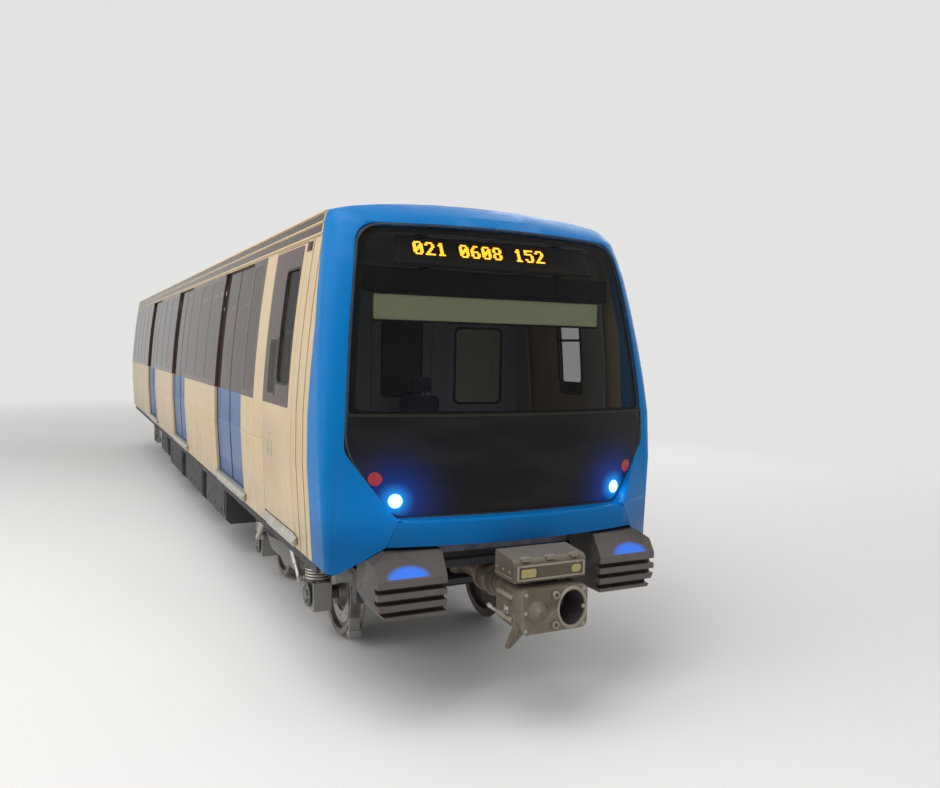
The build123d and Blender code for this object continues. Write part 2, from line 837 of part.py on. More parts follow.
# Rear end wall, with a framed doorway and two windows
end_door_half = 340
end_door_top = 3160
portal_width = 60
portal_proud = 30
end_window_z = 2700
end_window_x = 850
end_window_size = (520, 860, 60)
with BuildPart() as rear_end_wall:
    with BuildSketch(across(rear_end_y)):
        with BuildLine():
            right_top, left_top = outline_pair(0)
            Line(right_top, (roof_inner_x, roof_edge))
            ThreePointArc((roof_inner_x, roof_edge), (0, roof_inner_z), (-roof_inner_x, roof_edge))
            Line((-roof_inner_x, roof_edge), left_top)
        make_face()
        with Locations((-end_window_x, end_window_z), (end_window_x, end_window_z)):
            RectangleRounded(*end_window_size, mode=Mode.SUBTRACT)
    extrude(amount=end_wall_thick)
    doorway_height = end_door_top - floor_top
    with Locations((0, rear_end_y + portal_proud / 2, floor_top + (doorway_height + portal_width) / 2)):
        Box(2 * (end_door_half + portal_width), portal_proud, doorway_height + portal_width)
    with Locations((0, rear_end_y, floor_top + doorway_height / 2)):
        Box(2 * end_door_half, 4 * end_wall_thick, doorway_height, mode=Mode.SUBTRACT)
save(rear_end_wall, "rear_end_wall")

# Bulkhead between cab and saloon
bulkhead_door_half = 330
bulkhead_door_top = 3140
bulkhead_window_x = 860
bulkhead_window_z = 2490
bulkhead_window_size = (540, 780, 50)
lining_face = lining_inset + lining_thick
with BuildPart() as cab_bulkhead:
    with BuildSketch(across(bulkhead_y + bulkhead_thick)):
        with BuildLine():
            right_top, left_top = outline_pair(lining_face)
            Line(right_top, left_top)
        make_face()
        with Locations((0, (floor_top + ceiling_z) / 2)):
            Rectangle(far, ceiling_z - floor_top, mode=Mode.INTERSECT)
        with Locations((0, (floor_top + bulkhead_door_top) / 2)):
            Rectangle(2 * bulkhead_door_half, bulkhead_door_top - floor_top, mode=Mode.SUBTRACT)
        with Locations((-bulkhead_window_x, bulkhead_window_z), (bulkhead_window_x, bulkhead_window_z)):
            RectangleRounded(*bulkhead_window_size, mode=Mode.SUBTRACT)
    extrude(amount=bulkhead_thick)
save(cab_bulkhead, "cab_bulkhead")

# Hinged doors inside, columns: name, y of the rear face, opening half width, top
inner_door_thick = 36
inner_door_gap = 8
inner_door_frame = 120
inner_window_z = 2560
inner_window_height = 760
inner_doors = [
    ("bulkhead_door", bulkhead_y + bulkhead_thick, bulkhead_door_half, bulkhead_door_top),
    ("end_door", rear_end_y - inner_door_gap, end_door_half, end_door_top),
]
for name, rear_face, half, top in inner_doors:
    with BuildPart() as door:
        with BuildSketch(across(rear_face)):
            with Locations((0, (floor_top + top) / 2)):
                Rectangle(2 * (half - inner_door_gap), top - floor_top - 2 * inner_door_gap)
            with Locations((0, inner_window_z)):
                RectangleRounded(2 * (half - inner_door_frame), inner_window_height, 60,
                                 mode=Mode.SUBTRACT)
        extrude(amount=inner_door_thick)
    save(door, name)

# Driver's desk, seen from the side as (y, z), with a knee hole and a raised hood
desk_half = 1080
desk_section = [(-8430, floor_top), (-8430, 2060), (-8330, 2095), (-8200, 2060), (-8130, 1950),
                (-7740, 1890), (-7720, 1865), (-7740, 1840), (-8020, 1790), (-8060, floor_top)]
knee_hole = (760, 330, 560)
with BuildPart() as driver_desk:
    with BuildSketch(Plane.YZ.offset(-desk_half)):
        with BuildLine():
            Polyline(desk_section, close=True)
        make_face()
    extrude(amount=2 * desk_half)
    with Locations((0, -8060, floor_top)):
        Box(knee_hole[0], 2 * knee_hole[1], knee_hole[2], align=on_floor, mode=Mode.SUBTRACT)
save(driver_desk, "driver_desk")

# Driver's seat: column, cushion, back, head rest and arm rests
seat_y = -7000
seat_top = 1680
with BuildPart() as driver_seat:
    with Locations((0, seat_y, floor_top)):
        Cylinder(180, 30, align=on_floor)
        Cylinder(55, seat_top - 100 - floor_top, align=on_floor)
    with BuildSketch(Plane.XY.offset(seat_top - 110)):
        with Locations((0, seat_y)):
            RectangleRounded(480, 470, 90)
    extrude(amount=110)
    with BuildSketch(across(seat_y + 250)):
        with Locations((0, seat_top + 250)):
            RectangleRounded(460, 620, 110)
        with Locations((0, seat_top + 640)):
            RectangleRounded(260, 170, 60)
        with Locations((0, seat_top + 550)):
            Rectangle(120, 120)
    extrude(amount=95)
    for side in (1, -1):
        with Locations((side * 255, seat_y + 20, seat_top + 190)):
            Box(60, 330, 45)
        with Locations((side * 240, seat_y + 190, seat_top + 150)):
            Box(60, 60, 120)
save(driver_seat, "driver_seat")

# Benches along the saloon walls: start, end; the section is seen from the front as (x, z)
benches = [(-3960, -1390), (290, 2860), (4540, 7700)]
bench_section = [(1300, floor_top), (1060, floor_top), (1030, 1480), (880, 1500), (850, 1530),
                 (852, 1600), (880, 1618), (1195, 1596), (1232, 2060), (1250, 2080), (1335, 2080)]
with BuildPart() as seats:
    for start, end in benches:
        with BuildPart(mode=Mode.PRIVATE) as bench:
            with BuildSketch(across(end)):
                with BuildLine():
                    Polyline(bench_section, close=True)
                make_face()
            extrude(amount=end - start)
        both_sides(bench.part)
save(seats, "seats")

# Grab poles at the bench ends, joined by a rail overhead
pole_x = 800
pole_radius = 19
rail_z = 3080
with BuildPart() as grab_poles:
    for start, end in benches:
        for side in (1, -1):
            with Locations((side * pole_x, start, floor_top), (side * pole_x, end, floor_top)):
                Cylinder(pole_radius, ceiling_z - floor_top, align=on_floor)
            with Locations((side * pole_x, (start + end) / 2, rail_z)):
                Cylinder(pole_radius - 2, end - start, rotation=(90, 0, 0))
save(grab_poles, "grab_poles")

# Equipment cases under the deck, columns: x, y, width, length, depth
cases = [
    (-700, -2900, 1100, 1500, 520), (700, -2900, 1100, 1500, 560), (-700, -900, 1100, 1800, 540),
    (700, -700, 1100, 2200, 500), (-700, 1300, 1100, 1700, 560), (700, 1900, 1100, 1900, 520),
    (-700, 3100, 1100, 1100, 480),
]
case_chamfer = 60
cover_margin = 50
cover_proud = 12
reservoir_radius = 140
reservoir_length = 700
reservoir_end = 40
reservoirs = [(480, 3280), (900, 3280)]
strap_width = 50
with BuildPart() as equipment_cases:
    for x, y, width, length, depth in cases:
        inner, outer = x - width / 2, x + width / 2
        low = beam_bottom - depth
        with BuildSketch(across(y + length / 2)):
            with BuildLine():
                Polyline((inner, beam_bottom), (outer, beam_bottom), (outer, low + case_chamfer),
                         (outer - case_chamfer, low), (inner + case_chamfer, low),
                         (inner, low + case_chamfer), close=True)
            make_face()
        extrude(amount=length)
        cover_height = depth - case_chamfer - 2 * cover_margin
        with Locations((outer if x > 0 else inner, y, beam_bottom - cover_margin)):
            Box(2 * cover_proud, length - 2 * cover_margin, cover_height, align=hung)
    for x, y in reservoirs:
        with Locations((x, y, beam_bottom - reservoir_radius - 20)):
            Cylinder(reservoir_radius, reservoir_length, rotation=(90, 0, 0))
            Cylinder(reservoir_radius - reservoir_end, reservoir_length + 2 * reservoir_end,
                     rotation=(90, 0, 0))
        with Locations((x, y + 120, beam_bottom)):
            Box(2 * reservoir_radius + 20, strap_width, reservoir_radius, align=hung)
save(equipment_cases, "equipment_cases")

# Passenger door leaves, columns: name of the half, side of the doorway's middle
leaf_gap = 3
leaf_overlap = 20
leaf_window = (560, 1000, 70)
leaf_window_z = 2780
for number, centre in enumerate(door_centres, start=1):
    for side_name in ("right", "left"):
        for half_name, direction in (("front", -1), ("rear", 1)):
            inner_edge = centre + direction * leaf_gap
            outer_edge = centre + direction * (half_door + leaf_overlap)
            start, end = sorted((inner_edge, outer_edge))
            window_centre = (inner_edge + centre + direction * half_door) / 2
            leaf = side_slab(start, end, door_bottom, door_top, leaf_inset, leaf_thick)
            leaf -= window_cutter(window_centre, leaf_window_z, *leaf_window)
            leaf -= waist_groove_cut(start, end, leaf_inset)
            if side_name == "left":
                leaf = leaf.mirror(Plane.YZ)
            with BuildPart() as door_leaf:
                add(leaf)
            save(door_leaf, f"door_{number}_{side_name}_{half_name}")

# Cab side doors, hinged at the front edge to turn inwards
cab_window = (-7280, 2770, 420, 1060, 60)
for side_name in ("right", "left"):
    panel = side_slab(cab_hinge_y, cab_hinge_y + cab_door_reach + 50,
                      floor_top + cab_door_gap, cab_door_top, 0, cab_door_thick)
    panel &= cab_door_sweep(0)
    panel -= window_cutter(*cab_window)
    if side_name == "left":
        panel = panel.mirror(Plane.YZ)
    with BuildPart() as cab_door:
        add(panel)
    save(cab_door, f"cab_door_{side_name}")

# Bogie frame: side beams seen from the side, as (along from the bogie centre, height)
side_frame_x = 900
side_frame_width = 170
beam_mid_x = side_frame_x + side_frame_width / 2
beam_section = [(-1420, 700), (-1420, 800), (-620, 800), (-480, 700), (480, 700), (620, 800),
                (1420, 800), (1420, 700), (820, 700), (480, 500), (-480, 500), (-820, 700)]
transom = (300, 520, 170)
pivot_radius = 90
pivot_top = 985

# Axleboxes and their springs, and the air springs as a profile of (radius, height)
journal_radius = 60
journal_room = 1
axlebox_size = 260
spring_rings = [(105, 60), (90, 15), (105, 60), (90, 15)]
bellows_profile = [(0, 700), (150, 700), (150, 725), (215, 740), (238, 790), (215, 840), (205, 850),
                   (215, 860), (238, 910), (215, 960), (170, 975), (170, 1000), (0, 1000)]

# Motors: side of the bogie centre line, and end of the bogie, that each sits at
motor_places = ((-1, -1), (1, 1))
motor_radius = 200
motor_length = 640
motor_z = 470
motor_offset = 480
motor_shift = 120
motor_arm = (420, 200, 130)
motor_arm_offset = 250
motor_arm_z = 605

# Half of a wheelset's section, as (along the axle, out from it)
wheel_inner = 680
wheel_outer = 810
axle_radius = 80
web_radius = 320
rim_radius = 335
tread_inner_radius = 393
tread_outer_radius = 387
axle_end = 1040
wheel_section = [
    (0, 0), (0, axle_radius), (660, axle_radius), (660, 120), (725, 140), (730, web_radius),
    (wheel_inner, rim_radius), (wheel_inner, 405), (692, wheel_radius + flange_height), (704, 412),
    (716, tread_inner_radius), (wheel_outer, tread_outer_radius), (wheel_outer, rim_radius),
    (765, web_radius), (760, 140), (830, 120), (830, journal_radius), (axle_end, journal_radius),
    (axle_end, 0),
]
half_base = wheelbase / 2

for bogie, centre in bogie_centres.items():
    with BuildPart() as bogie_frame:
        with BuildSketch(Plane.YZ.offset(side_frame_x)):
            with BuildLine():
                Polyline([(centre + along, z) for along, z in beam_section], close=True)
            make_face()
        extrude(amount=side_frame_width)
        mirror(about=Plane.YZ)
        with Locations((0, centre, transom[1])):
            Box(2 * side_frame_x + 40, transom[0], transom[2], align=on_floor)
        with Locations((0, centre, transom[1])):
            Cylinder(pivot_radius, pivot_top - transom[1], align=on_floor)
    save(bogie_frame, f"{bogie}_bogie_frame")

    with BuildPart() as axleboxes:
        for y in (centre - half_base, centre + half_base):
            for side in (1, -1):
                with Locations((side * beam_mid_x, y, axle_height)):
                    Box(side_frame_width, axlebox_size, axlebox_size)
                ring_bottom = axle_height + axlebox_size / 2
                for radius, height in spring_rings:
                    with Locations((side * beam_mid_x, y, ring_bottom)):
                        Cylinder(radius, height, align=on_floor)
                    ring_bottom += height
        with BuildSketch(Plane.YZ.offset(-axle_end - 5)):
            with Locations((centre - half_base, axle_height), (centre + half_base, axle_height)):
                Circle(journal_radius + journal_room)
        extrude(amount=2 * axle_end + 10, mode=Mode.SUBTRACT)
    save(axleboxes, f"{bogie}_bogie_axleboxes")

    with BuildPart() as air_springs:
        with BuildSketch(across(centre)):
            with BuildLine():
                Polyline([(beam_mid_x + radius, z) for radius, z in bellows_profile], close=True)
            make_face()
        revolve(axis=Axis((beam_mid_x, centre, 0), (0, 0, 1)))
        mirror(about=Plane.YZ)
    save(air_springs, f"{bogie}_bogie_air_springs")

    with BuildPart() as motors:
        for side, direction in motor_places:
            with Locations((side * motor_shift, centre + direction * motor_offset, motor_z)):
                Cylinder(motor_radius, motor_length - 120, rotation=(0, 90, 0))
                Cylinder(motor_radius - 35, motor_length, rotation=(0, 90, 0))
            with Locations((side * motor_shift, centre + direction * motor_arm_offset, motor_arm_z)):
                Box(*motor_arm)
    save(motors, f"{bogie}_bogie_motors")

    for end_name, y in (("front", centre - half_base), ("rear", centre + half_base)):
        with BuildPart() as wheelset:
            with BuildSketch(Plane.XY.offset(axle_height)):
                with BuildLine():
                    Polyline([(along, y + out) for along, out in wheel_section], close=True)
                make_face()
            revolve(axis=Axis((0, y, axle_height), (1, 0, 0)))
            mirror(about=Plane.YZ)
        save(wheelset, f"{bogie}_bogie_{end_name}_wheelset")
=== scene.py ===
from contextlib import contextmanager
import json
import math

import bmesh
import bpy
from mathutils import Matrix, Vector

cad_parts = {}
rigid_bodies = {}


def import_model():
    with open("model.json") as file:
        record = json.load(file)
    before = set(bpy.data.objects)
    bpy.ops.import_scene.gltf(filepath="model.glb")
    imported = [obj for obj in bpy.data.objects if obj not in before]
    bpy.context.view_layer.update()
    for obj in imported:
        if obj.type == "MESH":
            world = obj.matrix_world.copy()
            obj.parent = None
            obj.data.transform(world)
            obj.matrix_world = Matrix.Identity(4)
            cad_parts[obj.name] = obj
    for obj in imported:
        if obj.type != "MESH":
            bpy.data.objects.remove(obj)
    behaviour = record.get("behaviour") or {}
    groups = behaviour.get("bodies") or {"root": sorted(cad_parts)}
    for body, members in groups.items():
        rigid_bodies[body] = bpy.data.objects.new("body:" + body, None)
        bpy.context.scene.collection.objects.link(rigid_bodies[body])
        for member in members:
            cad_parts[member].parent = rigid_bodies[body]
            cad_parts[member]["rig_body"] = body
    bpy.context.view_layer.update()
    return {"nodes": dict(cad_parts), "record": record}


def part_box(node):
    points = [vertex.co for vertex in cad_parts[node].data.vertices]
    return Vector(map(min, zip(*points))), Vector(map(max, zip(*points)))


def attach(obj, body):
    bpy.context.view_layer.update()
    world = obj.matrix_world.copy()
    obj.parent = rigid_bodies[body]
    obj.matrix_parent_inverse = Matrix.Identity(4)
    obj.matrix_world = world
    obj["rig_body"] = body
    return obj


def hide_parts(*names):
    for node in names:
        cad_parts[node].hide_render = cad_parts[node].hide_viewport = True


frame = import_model()
record = frame["record"]
print("frame loaded,", len(frame["nodes"]), "nodes")


def linked(name, data):
    thing = bpy.data.objects.new(name, data)
    bpy.context.scene.collection.objects.link(thing)
    return thing


# Camera, at the photograph's place and angle

view = {
    "place": (-3.056, -13.997, 2.669),
    "yaw": 26.53,       # degrees to the right of straight along the car
    "down": 3.17,
    "roll": 1.2,
    "lens": 31.28,
    "sensor": 36,
    "clip": (0.1, 300),
}


def makeCamera():
    data = bpy.data.cameras.new("camera")
    data.lens = view["lens"]
    data.sensor_width = view["sensor"]
    data.clip_start, data.clip_end = view["clip"]
    camera = linked("camera", data)
    yaw, down, roll = (math.radians(view[k]) for k in ("yaw", "down", "roll"))
    flat = Vector((math.sin(yaw), math.cos(yaw), 0))
    ahead = flat * math.cos(down) - Vector((0, 0, math.sin(down)))
    level = Vector((math.cos(yaw), -math.sin(yaw), 0))
    up = level.cross(ahead)
    right = level * math.cos(roll) + up * math.sin(roll)
    up = up * math.cos(roll) - level * math.sin(roll)
    turn = Matrix((right, up, -ahead)).transposed()
    camera.matrix_world = Matrix.Translation(view["place"]) @ turn.to_4x4()
    bpy.context.scene.camera = camera


# Shader nodes: an input's value is a number, a colour, a vector or another node's output

def setInputs(node, values):
    for name, value in values.items():
        socket = node.inputs[name]
        if isinstance(value, bpy.types.NodeSocket):
            node.id_data.links.new(value, socket)
        else:
            socket.default_value = (*value, 1) if socket.type == "RGBA" else value


def addNode(tree, kind, values, **settings):
    node = tree.nodes.new("ShaderNode" + kind)
    for name, setting in settings.items():
        setattr(node, name, setting)
    setInputs(node, values)
    return node


def shader(name, values=None):
    material = bpy.data.materials.new(name)
    material.use_nodes = True
    tree = material.node_tree
    surface = tree.nodes["Principled BSDF"]
    setInputs(surface, values or {})
    return material, tree, surface


def objectCoordinates(tree, scale=(1, 1, 1)):
    where = addNode(tree, "TexCoord", {}).outputs["Object"]
    return addNode(tree, "Mapping", {"Vector": where, "Scale": scale}).outputs["Vector"]


def noiseAt(tree, vector, scale, detail=4.0):
    values = {"Vector": vector, "Scale": scale, "Detail": detail}
    return addNode(tree, "TexNoise", values).outputs["Fac"]


def ranged(tree, value, fromLow, fromHigh, toLow=0, toHigh=1):
    values = {"Value": value, "From Min": fromLow, "From Max": fromHigh,
              "To Min": toLow, "To Max": toHigh}
    return addNode(tree, "MapRange", values).outputs["Result"]


def combined(tree, kind, *values):
    return addNode(tree, "Math", dict(enumerate(values)), operation=kind).outputs[0]


def blended(tree, factor, first, second):
    values = {"Factor": factor, "A": first, "B": second}
    return addNode(tree, "Mix", values, data_type="RGBA").outputs["Result"]


def placeParts(tree, vector):
    return addNode(tree, "SeparateXYZ", {"Vector": vector}).outputs


def bumped(tree, surface, height, strength, distance):
    values = {"Height": height, "Strength": strength, "Distance": distance}
    setInputs(surface, {"Normal": addNode(tree, "Bump", values).outputs["Normal"]})


def scaled(colour, by, more=0.0):
    return tuple(c * by + more for c in colour)


# lays a colour over the base that a material has
def overlaid(tree, factor, colour):
    surface = tree.nodes["Principled BSDF"]
    base = surface.inputs["Base Color"].links[0].from_socket
    setInputs(surface, {"Base Color": blended(tree, factor, base, colour)})
    return surface


# Stage: floor, lights and world

stage = {
    "floor": {"Base Color": (0.80, 0.79, 0.77), "Roughness": 0.8, "Specular IOR Level": 0.1},
    "back": {"Color": (0.84, 0.84, 0.83), "Strength": 0.92},
    "world": {"Color": (0.97, 0.98, 1.0), "Strength": 0.50},
    "floorSize": 160,
    "fade": (9.0, 22.0),
    "stretch": (1.4, 0.8, 1),       # the fade starts sooner to the sides than along the car
}
# name, place, aimed at, size, watts
lamps = [
    ("overhead", (-6, -8, 14), (0, -4, 2), 13, 1500),
    ("alongside", (-16, -3, 6), (0, 0, 2), 14, 900),
    ("ahead", (1, -24, 9), (0, -9, 2), 9, 320),
    ("farSide", (13, 4, 9), (0, 2, 2), 12, 700),
]


# what the camera, glossy and see-through rays meet is mixed in over what lights the object
def cameraSees(tree, seen, lit, output):
    path = addNode(tree, "LightPath", {})
    total = path.outputs["Is Camera Ray"]
    for ray in ("Is Glossy Ray", "Is Transmission Ray"):
        total = combined(tree, "MAXIMUM", total, path.outputs[ray])
    mix = addNode(tree, "MixShader", {0: total, 1: lit, 2: seen})
    setInputs(tree.nodes[output], {"Surface": mix.outputs[0]})


def makeStage():
    world = bpy.data.worlds.new("world")
    bpy.context.scene.world = world
    world.use_nodes = True
    tree = world.node_tree
    lit = tree.nodes["Background"]
    setInputs(lit, stage["world"])
    seen = addNode(tree, "Background", stage["back"])
    cameraSees(tree, seen.outputs[0], lit.outputs[0], "World Output")

    bm = bmesh.new()
    bmesh.ops.create_grid(bm, x_segments=1, y_segments=1, size=stage["floorSize"])
    floor = addPiece("floorSheet", bm, floorFinish())

    for name, place, target, size, watts in lamps:
        data = bpy.data.lights.new(name, "AREA")
        data.shape = "SQUARE"
        data.size = size
        data.energy = watts
        lamp = linked(name, data)
        lamp.location = place
        lamp.visible_glossy = name != "ahead"       # its square would show in the windscreen
        lamp.rotation_mode = "QUATERNION"
        lamp.rotation_quaternion = (Vector(target) - Vector(place)).to_track_quat("-Z", "Y")
    bpy.context.scene.view_settings.view_transform = "Standard"


# the floor keeps the shadow near the car and fades into the background far away
def floorFinish():
    material, tree, surface = shader("floorFinish", stage["floor"])
    pale = addNode(tree, "Emission", stage["back"])
    where = objectCoordinates(tree, stage["stretch"])
    away = addNode(tree, "VectorMath", {0: where}, operation="LENGTH").outputs["Value"]
    far = ranged(tree, away, *stage["fade"])
    mix = addNode(tree, "MixShader", {0: far, 1: surface.outputs[0], 2: pale.outputs[0]})
    cameraSees(tree, mix.outputs[0], surface.outputs[0], "Material Output")
    return material


# Finishes

colours = {
    "cream": (0.575, 0.435, 0.25),
    "maskBlue": (0.001, 0.165, 0.46),
    "doorBlue": (0.10, 0.17, 0.32),
    "doorFoot": (0.03, 0.10, 0.30),
    "band": (0.070, 0.048, 0.042),
    "grime": (0.20, 0.165, 0.13),
    "doorGrime": (0.16, 0.15, 0.14),
    "rust": (0.22, 0.12, 0.07),
    "lampNear": (0.0, 0.30, 1.0),
    "lampFar": (0.0, 0.045, 0.36),
}


# sprayed paint: slight mottling, a fine orange-peel bump and grime that thins out with height
def paint(name, colour, roughness=0.3, coat=0.0, dirt=0.0, dirtTop=1.5, grain=0.04, shine=0.25):
    material, tree, surface = shader(name)
    where = objectCoordinates(tree)
    mottle = ranged(tree, noiseAt(tree, where, 1.3), 0.35, 0.65)
    base = blended(tree, mottle, colour, scaled(colour, 0.93))
    if dirt:
        low = ranged(tree, placeParts(tree, where)["Z"], 0.95, dirtTop, dirt, 0)
        patch = ranged(tree, noiseAt(tree, where, 5, 6), 0.3, 0.75, 0.2, 1)
        streaks = noiseAt(tree, objectCoordinates(tree, (1, 6, 0.35)), 3, 5)
        run = ranged(tree, streaks, 0.5, 0.8, 0, dirt * 0.35)
        grime = combined(tree, "MAXIMUM", combined(tree, "MULTIPLY", low, patch), run)
        base = blended(tree, grime, base, colours["grime"])
    rough = ranged(tree, noiseAt(tree, where, 9, 3), 0.3, 0.7, roughness * 0.85, roughness * 1.2)
    setInputs(surface, {"Base Color": base, "Roughness": rough, "Specular IOR Level": shine,
                        "Coat Weight": coat, "Coat Roughness": 0.06})
    if grain:
        bumped(tree, surface, noiseAt(tree, where, 320, 2), grain, 0.001)
    return material


# cast or rolled steel: dark, with brighter rubbed edges and patches of rust
def wornMetal(name, colour, roughness=0.45, metal=0.8, wear=(0.5, 0.48, 0.45), rust=0.25):
    material, tree, surface = shader(name)
    where = objectCoordinates(tree)
    patches = ranged(tree, noiseAt(tree, where, 7, 8), 0.45, 0.7)
    base = blended(tree, patches, colour, scaled(colour, 0.6))
    rusty = ranged(tree, noiseAt(tree, where, 17, 8), 0.58, 0.72, 0, rust)
    base = blended(tree, rusty, base, colours["rust"])
    edge = addNode(tree, "NewGeometry", {}).outputs["Pointiness"]
    base = blended(tree, ranged(tree, edge, 0.53, 0.60, 0, 0.8), base, wear)
    rough = ranged(tree, noiseAt(tree, where, 30, 4), 0.3, 0.7, roughness * 0.8, roughness * 1.25)
    setInputs(surface, {"Base Color": base, "Roughness": rough, "Metallic": metal,
                        "Specular IOR Level": 0.3})
    bumped(tree, surface, noiseAt(tree, where, 90, 6), 0.25, 0.002)
    return material


# glass that lets through what its alpha leaves; a black one adds no haze of its own
def tinted(name, colour, alpha, roughness=0.04, shine=0.25):
    values = {"Base Color": colour, "Roughness": roughness, "Specular IOR Level": shine,
              "Alpha": alpha}
    material, tree, surface = shader(name, values)
    bumped(tree, surface, noiseAt(tree, objectCoordinates(tree), 0.8, 1), 0.03, 0.02)
    return material


# a glow that is only seen isn't sampled as a lamp, which would leave speckle behind the windscreen
def onlySeen(material):
    material.cycles.emission_sampling = "NONE"
    return material


def glow(name, colour, strength, roughness=0.3):
    values = {"Base Color": colour, "Emission Color": colour, "Emission Strength": strength,
              "Roughness": roughness}
    return shader(name, values)[0]


def rubber(name, colour=(0.02, 0.02, 0.02), roughness=0.65):
    material, tree, surface = shader(name)
    where = objectCoordinates(tree)
    mottle = ranged(tree, noiseAt(tree, where, 12), 0.3, 0.7)
    base = blended(tree, mottle, colour, scaled(colour, 1.8, 0.01))
    setInputs(surface, {"Base Color": base, "Roughness": roughness, "Specular IOR Level": 0.3})
    bumped(tree, surface, noiseAt(tree, where, 150, 3), 0.1, 0.001)
    return material


# woven seat cloth: crossed threads and a soft sheen
def cloth(name, colour, other):
    material, tree, surface = shader(name)
    where = objectCoordinates(tree)
    values = {"Vector": where, "Scale": 260, "Distortion": 0.6}
    threads = [addNode(tree, "TexWave", values, bands_direction=way).outputs["Fac"]
               for way in ("X", "Z")]
    weave = combined(tree, "MULTIPLY", *threads)
    base = blended(tree, weave, colour, other)
    worn = ranged(tree, noiseAt(tree, where, 9, 5), 0.45, 0.75, 0, 0.35)
    base = blended(tree, worn, base, scaled(other, 1.6, 0.01))
    setInputs(surface, {"Base Color": base, "Roughness": 0.9, "Sheen Weight": 0.4})
    bumped(tree, surface, weave, 0.4, 0.001)
    return material


headlampPlace = (0.948, 0, 1.576)


# how far a point is from the headlamp on its own side, seen from the front
def lampDistance(tree):
    parts = placeParts(tree, objectCoordinates(tree))
    values = {"X": combined(tree, "ABSOLUTE", parts["X"]), "Z": parts["Z"]}
    place = addNode(tree, "CombineXYZ", values).outputs[0]
    values = {0: place, 1: headlampPlace}
    return addNode(tree, "VectorMath", values, operation="DISTANCE").outputs["Value"]


# blue light that the headlamps spill on what is next to them
def lampSpill(tree, surface, reach, strength):
    away = lampDistance(tree)
    soft = combined(tree, "POWER", ranged(tree, away, 0.05, reach, 1, 0), 4.0)
    near = ranged(tree, away, 0.05, 0.14)
    setInputs(surface, {
        "Emission Color": blended(tree, near, colours["lampNear"], colours["lampFar"]),
        "Emission Strength": ranged(tree, soft, 0, 1, 0, strength),
    })


# headlamp: white in the middle, blue at the rim
def headlampFinish():
    values = {"Base Color": (0.5, 0.7, 0.9), "Roughness": 0.2}
    material, tree, surface = shader("headlampGlow", values)
    away = lampDistance(tree)
    rim = ranged(tree, away, 0.030, 0.050)
    setInputs(surface, {
        "Emission Color": blended(tree, rim, (0.75, 0.92, 1.0), (0.03, 0.35, 1.0)),
        "Emission Strength": ranged(tree, away, 0.030, 0.052, 6, 1.6),
    })
    return onlySeen(material)


def apronFinish():
    values = {"Roughness": 0.14, "Specular IOR Level": 0.14}
    material, tree, surface = shader("apronBlack", values)
    smear = noiseAt(tree, objectCoordinates(tree, (0.6, 1, 2.5)), 2.2, 3)
    smear = ranged(tree, smear, 0.4, 0.75)
    base = blended(tree, smear, (0.006, 0.006, 0.008), (0.018, 0.014, 0.012))
    setInputs(surface, {"Base Color": base})
    bumped(tree, surface, noiseAt(tree, objectCoordinates(tree), 0.8, 1), 0.03, 0.02)
    lampSpill(tree, surface, 0.66, 0.9)
    return onlySeen(material)


def maskFinish():
    material = paint("bluePaint", colours["maskBlue"], dirt=0.10, dirtTop=1.3, grain=0, shine=0.09)
    tree = material.node_tree
    # painted shade: below 1.52 m the mask and the lip turn darker blue towards the bottom, as if
    # shaded from above
    low = ranged(tree, placeParts(tree, objectCoordinates(tree))["Z"], 1.24, 1.52, 0.55, 0)
    surface = overlaid(tree, low, (0.002, 0.055, 0.19))
    lampSpill(tree, surface, 0.34, 0.5)
    return onlySeen(material)


# door leaf: dark above, light blue below, darker blue along the foot
doorPaint = {"foot": 1.345, "band": 2.152, "edge": 0.002, "grime": (1.18, 1.75)}


def doorFinish():
    material, tree, surface = shader("doorPaint")
    where = objectCoordinates(tree)
    height = placeParts(tree, where)["Z"]
    foot, band = (ranged(tree, height, doorPaint[line], doorPaint[line] + doorPaint["edge"])
                  for line in ("foot", "band"))
    mottle = ranged(tree, noiseAt(tree, where, 1.6), 0.35, 0.65)
    base = blended(tree, mottle, colours["doorBlue"], scaled(colours["doorBlue"], 0.9))
    base = blended(tree, foot, colours["doorFoot"], base)
    patch = ranged(tree, noiseAt(tree, where, 6, 6), 0.3, 0.75, 0.1, 1)
    low = ranged(tree, height, *doorPaint["grime"], 0.5, 0)
    base = blended(tree, combined(tree, "MULTIPLY", low, patch), base, colours["doorGrime"])
    base = blended(tree, band, base, colours["band"])
    setInputs(surface, {"Base Color": base, "Roughness": ranged(tree, band, 0, 1, 0.32, 0.16),
                        "Specular IOR Level": 0.08})
    bumped(tree, surface, noiseAt(tree, where, 300, 2), 0.04, 0.001)
    return material


# blocks under the lip: the headlamps light half an ellipse on each sloping top
lightPatch = {"x": (0.77, 1.11), "z": 1.090, "high": 0.080, "front": (-8.785, -8.78),
              "colour": (0.05, 0.18, 0.70), "glow": (0.02, 0.14, 0.80), "strength": 0.32}


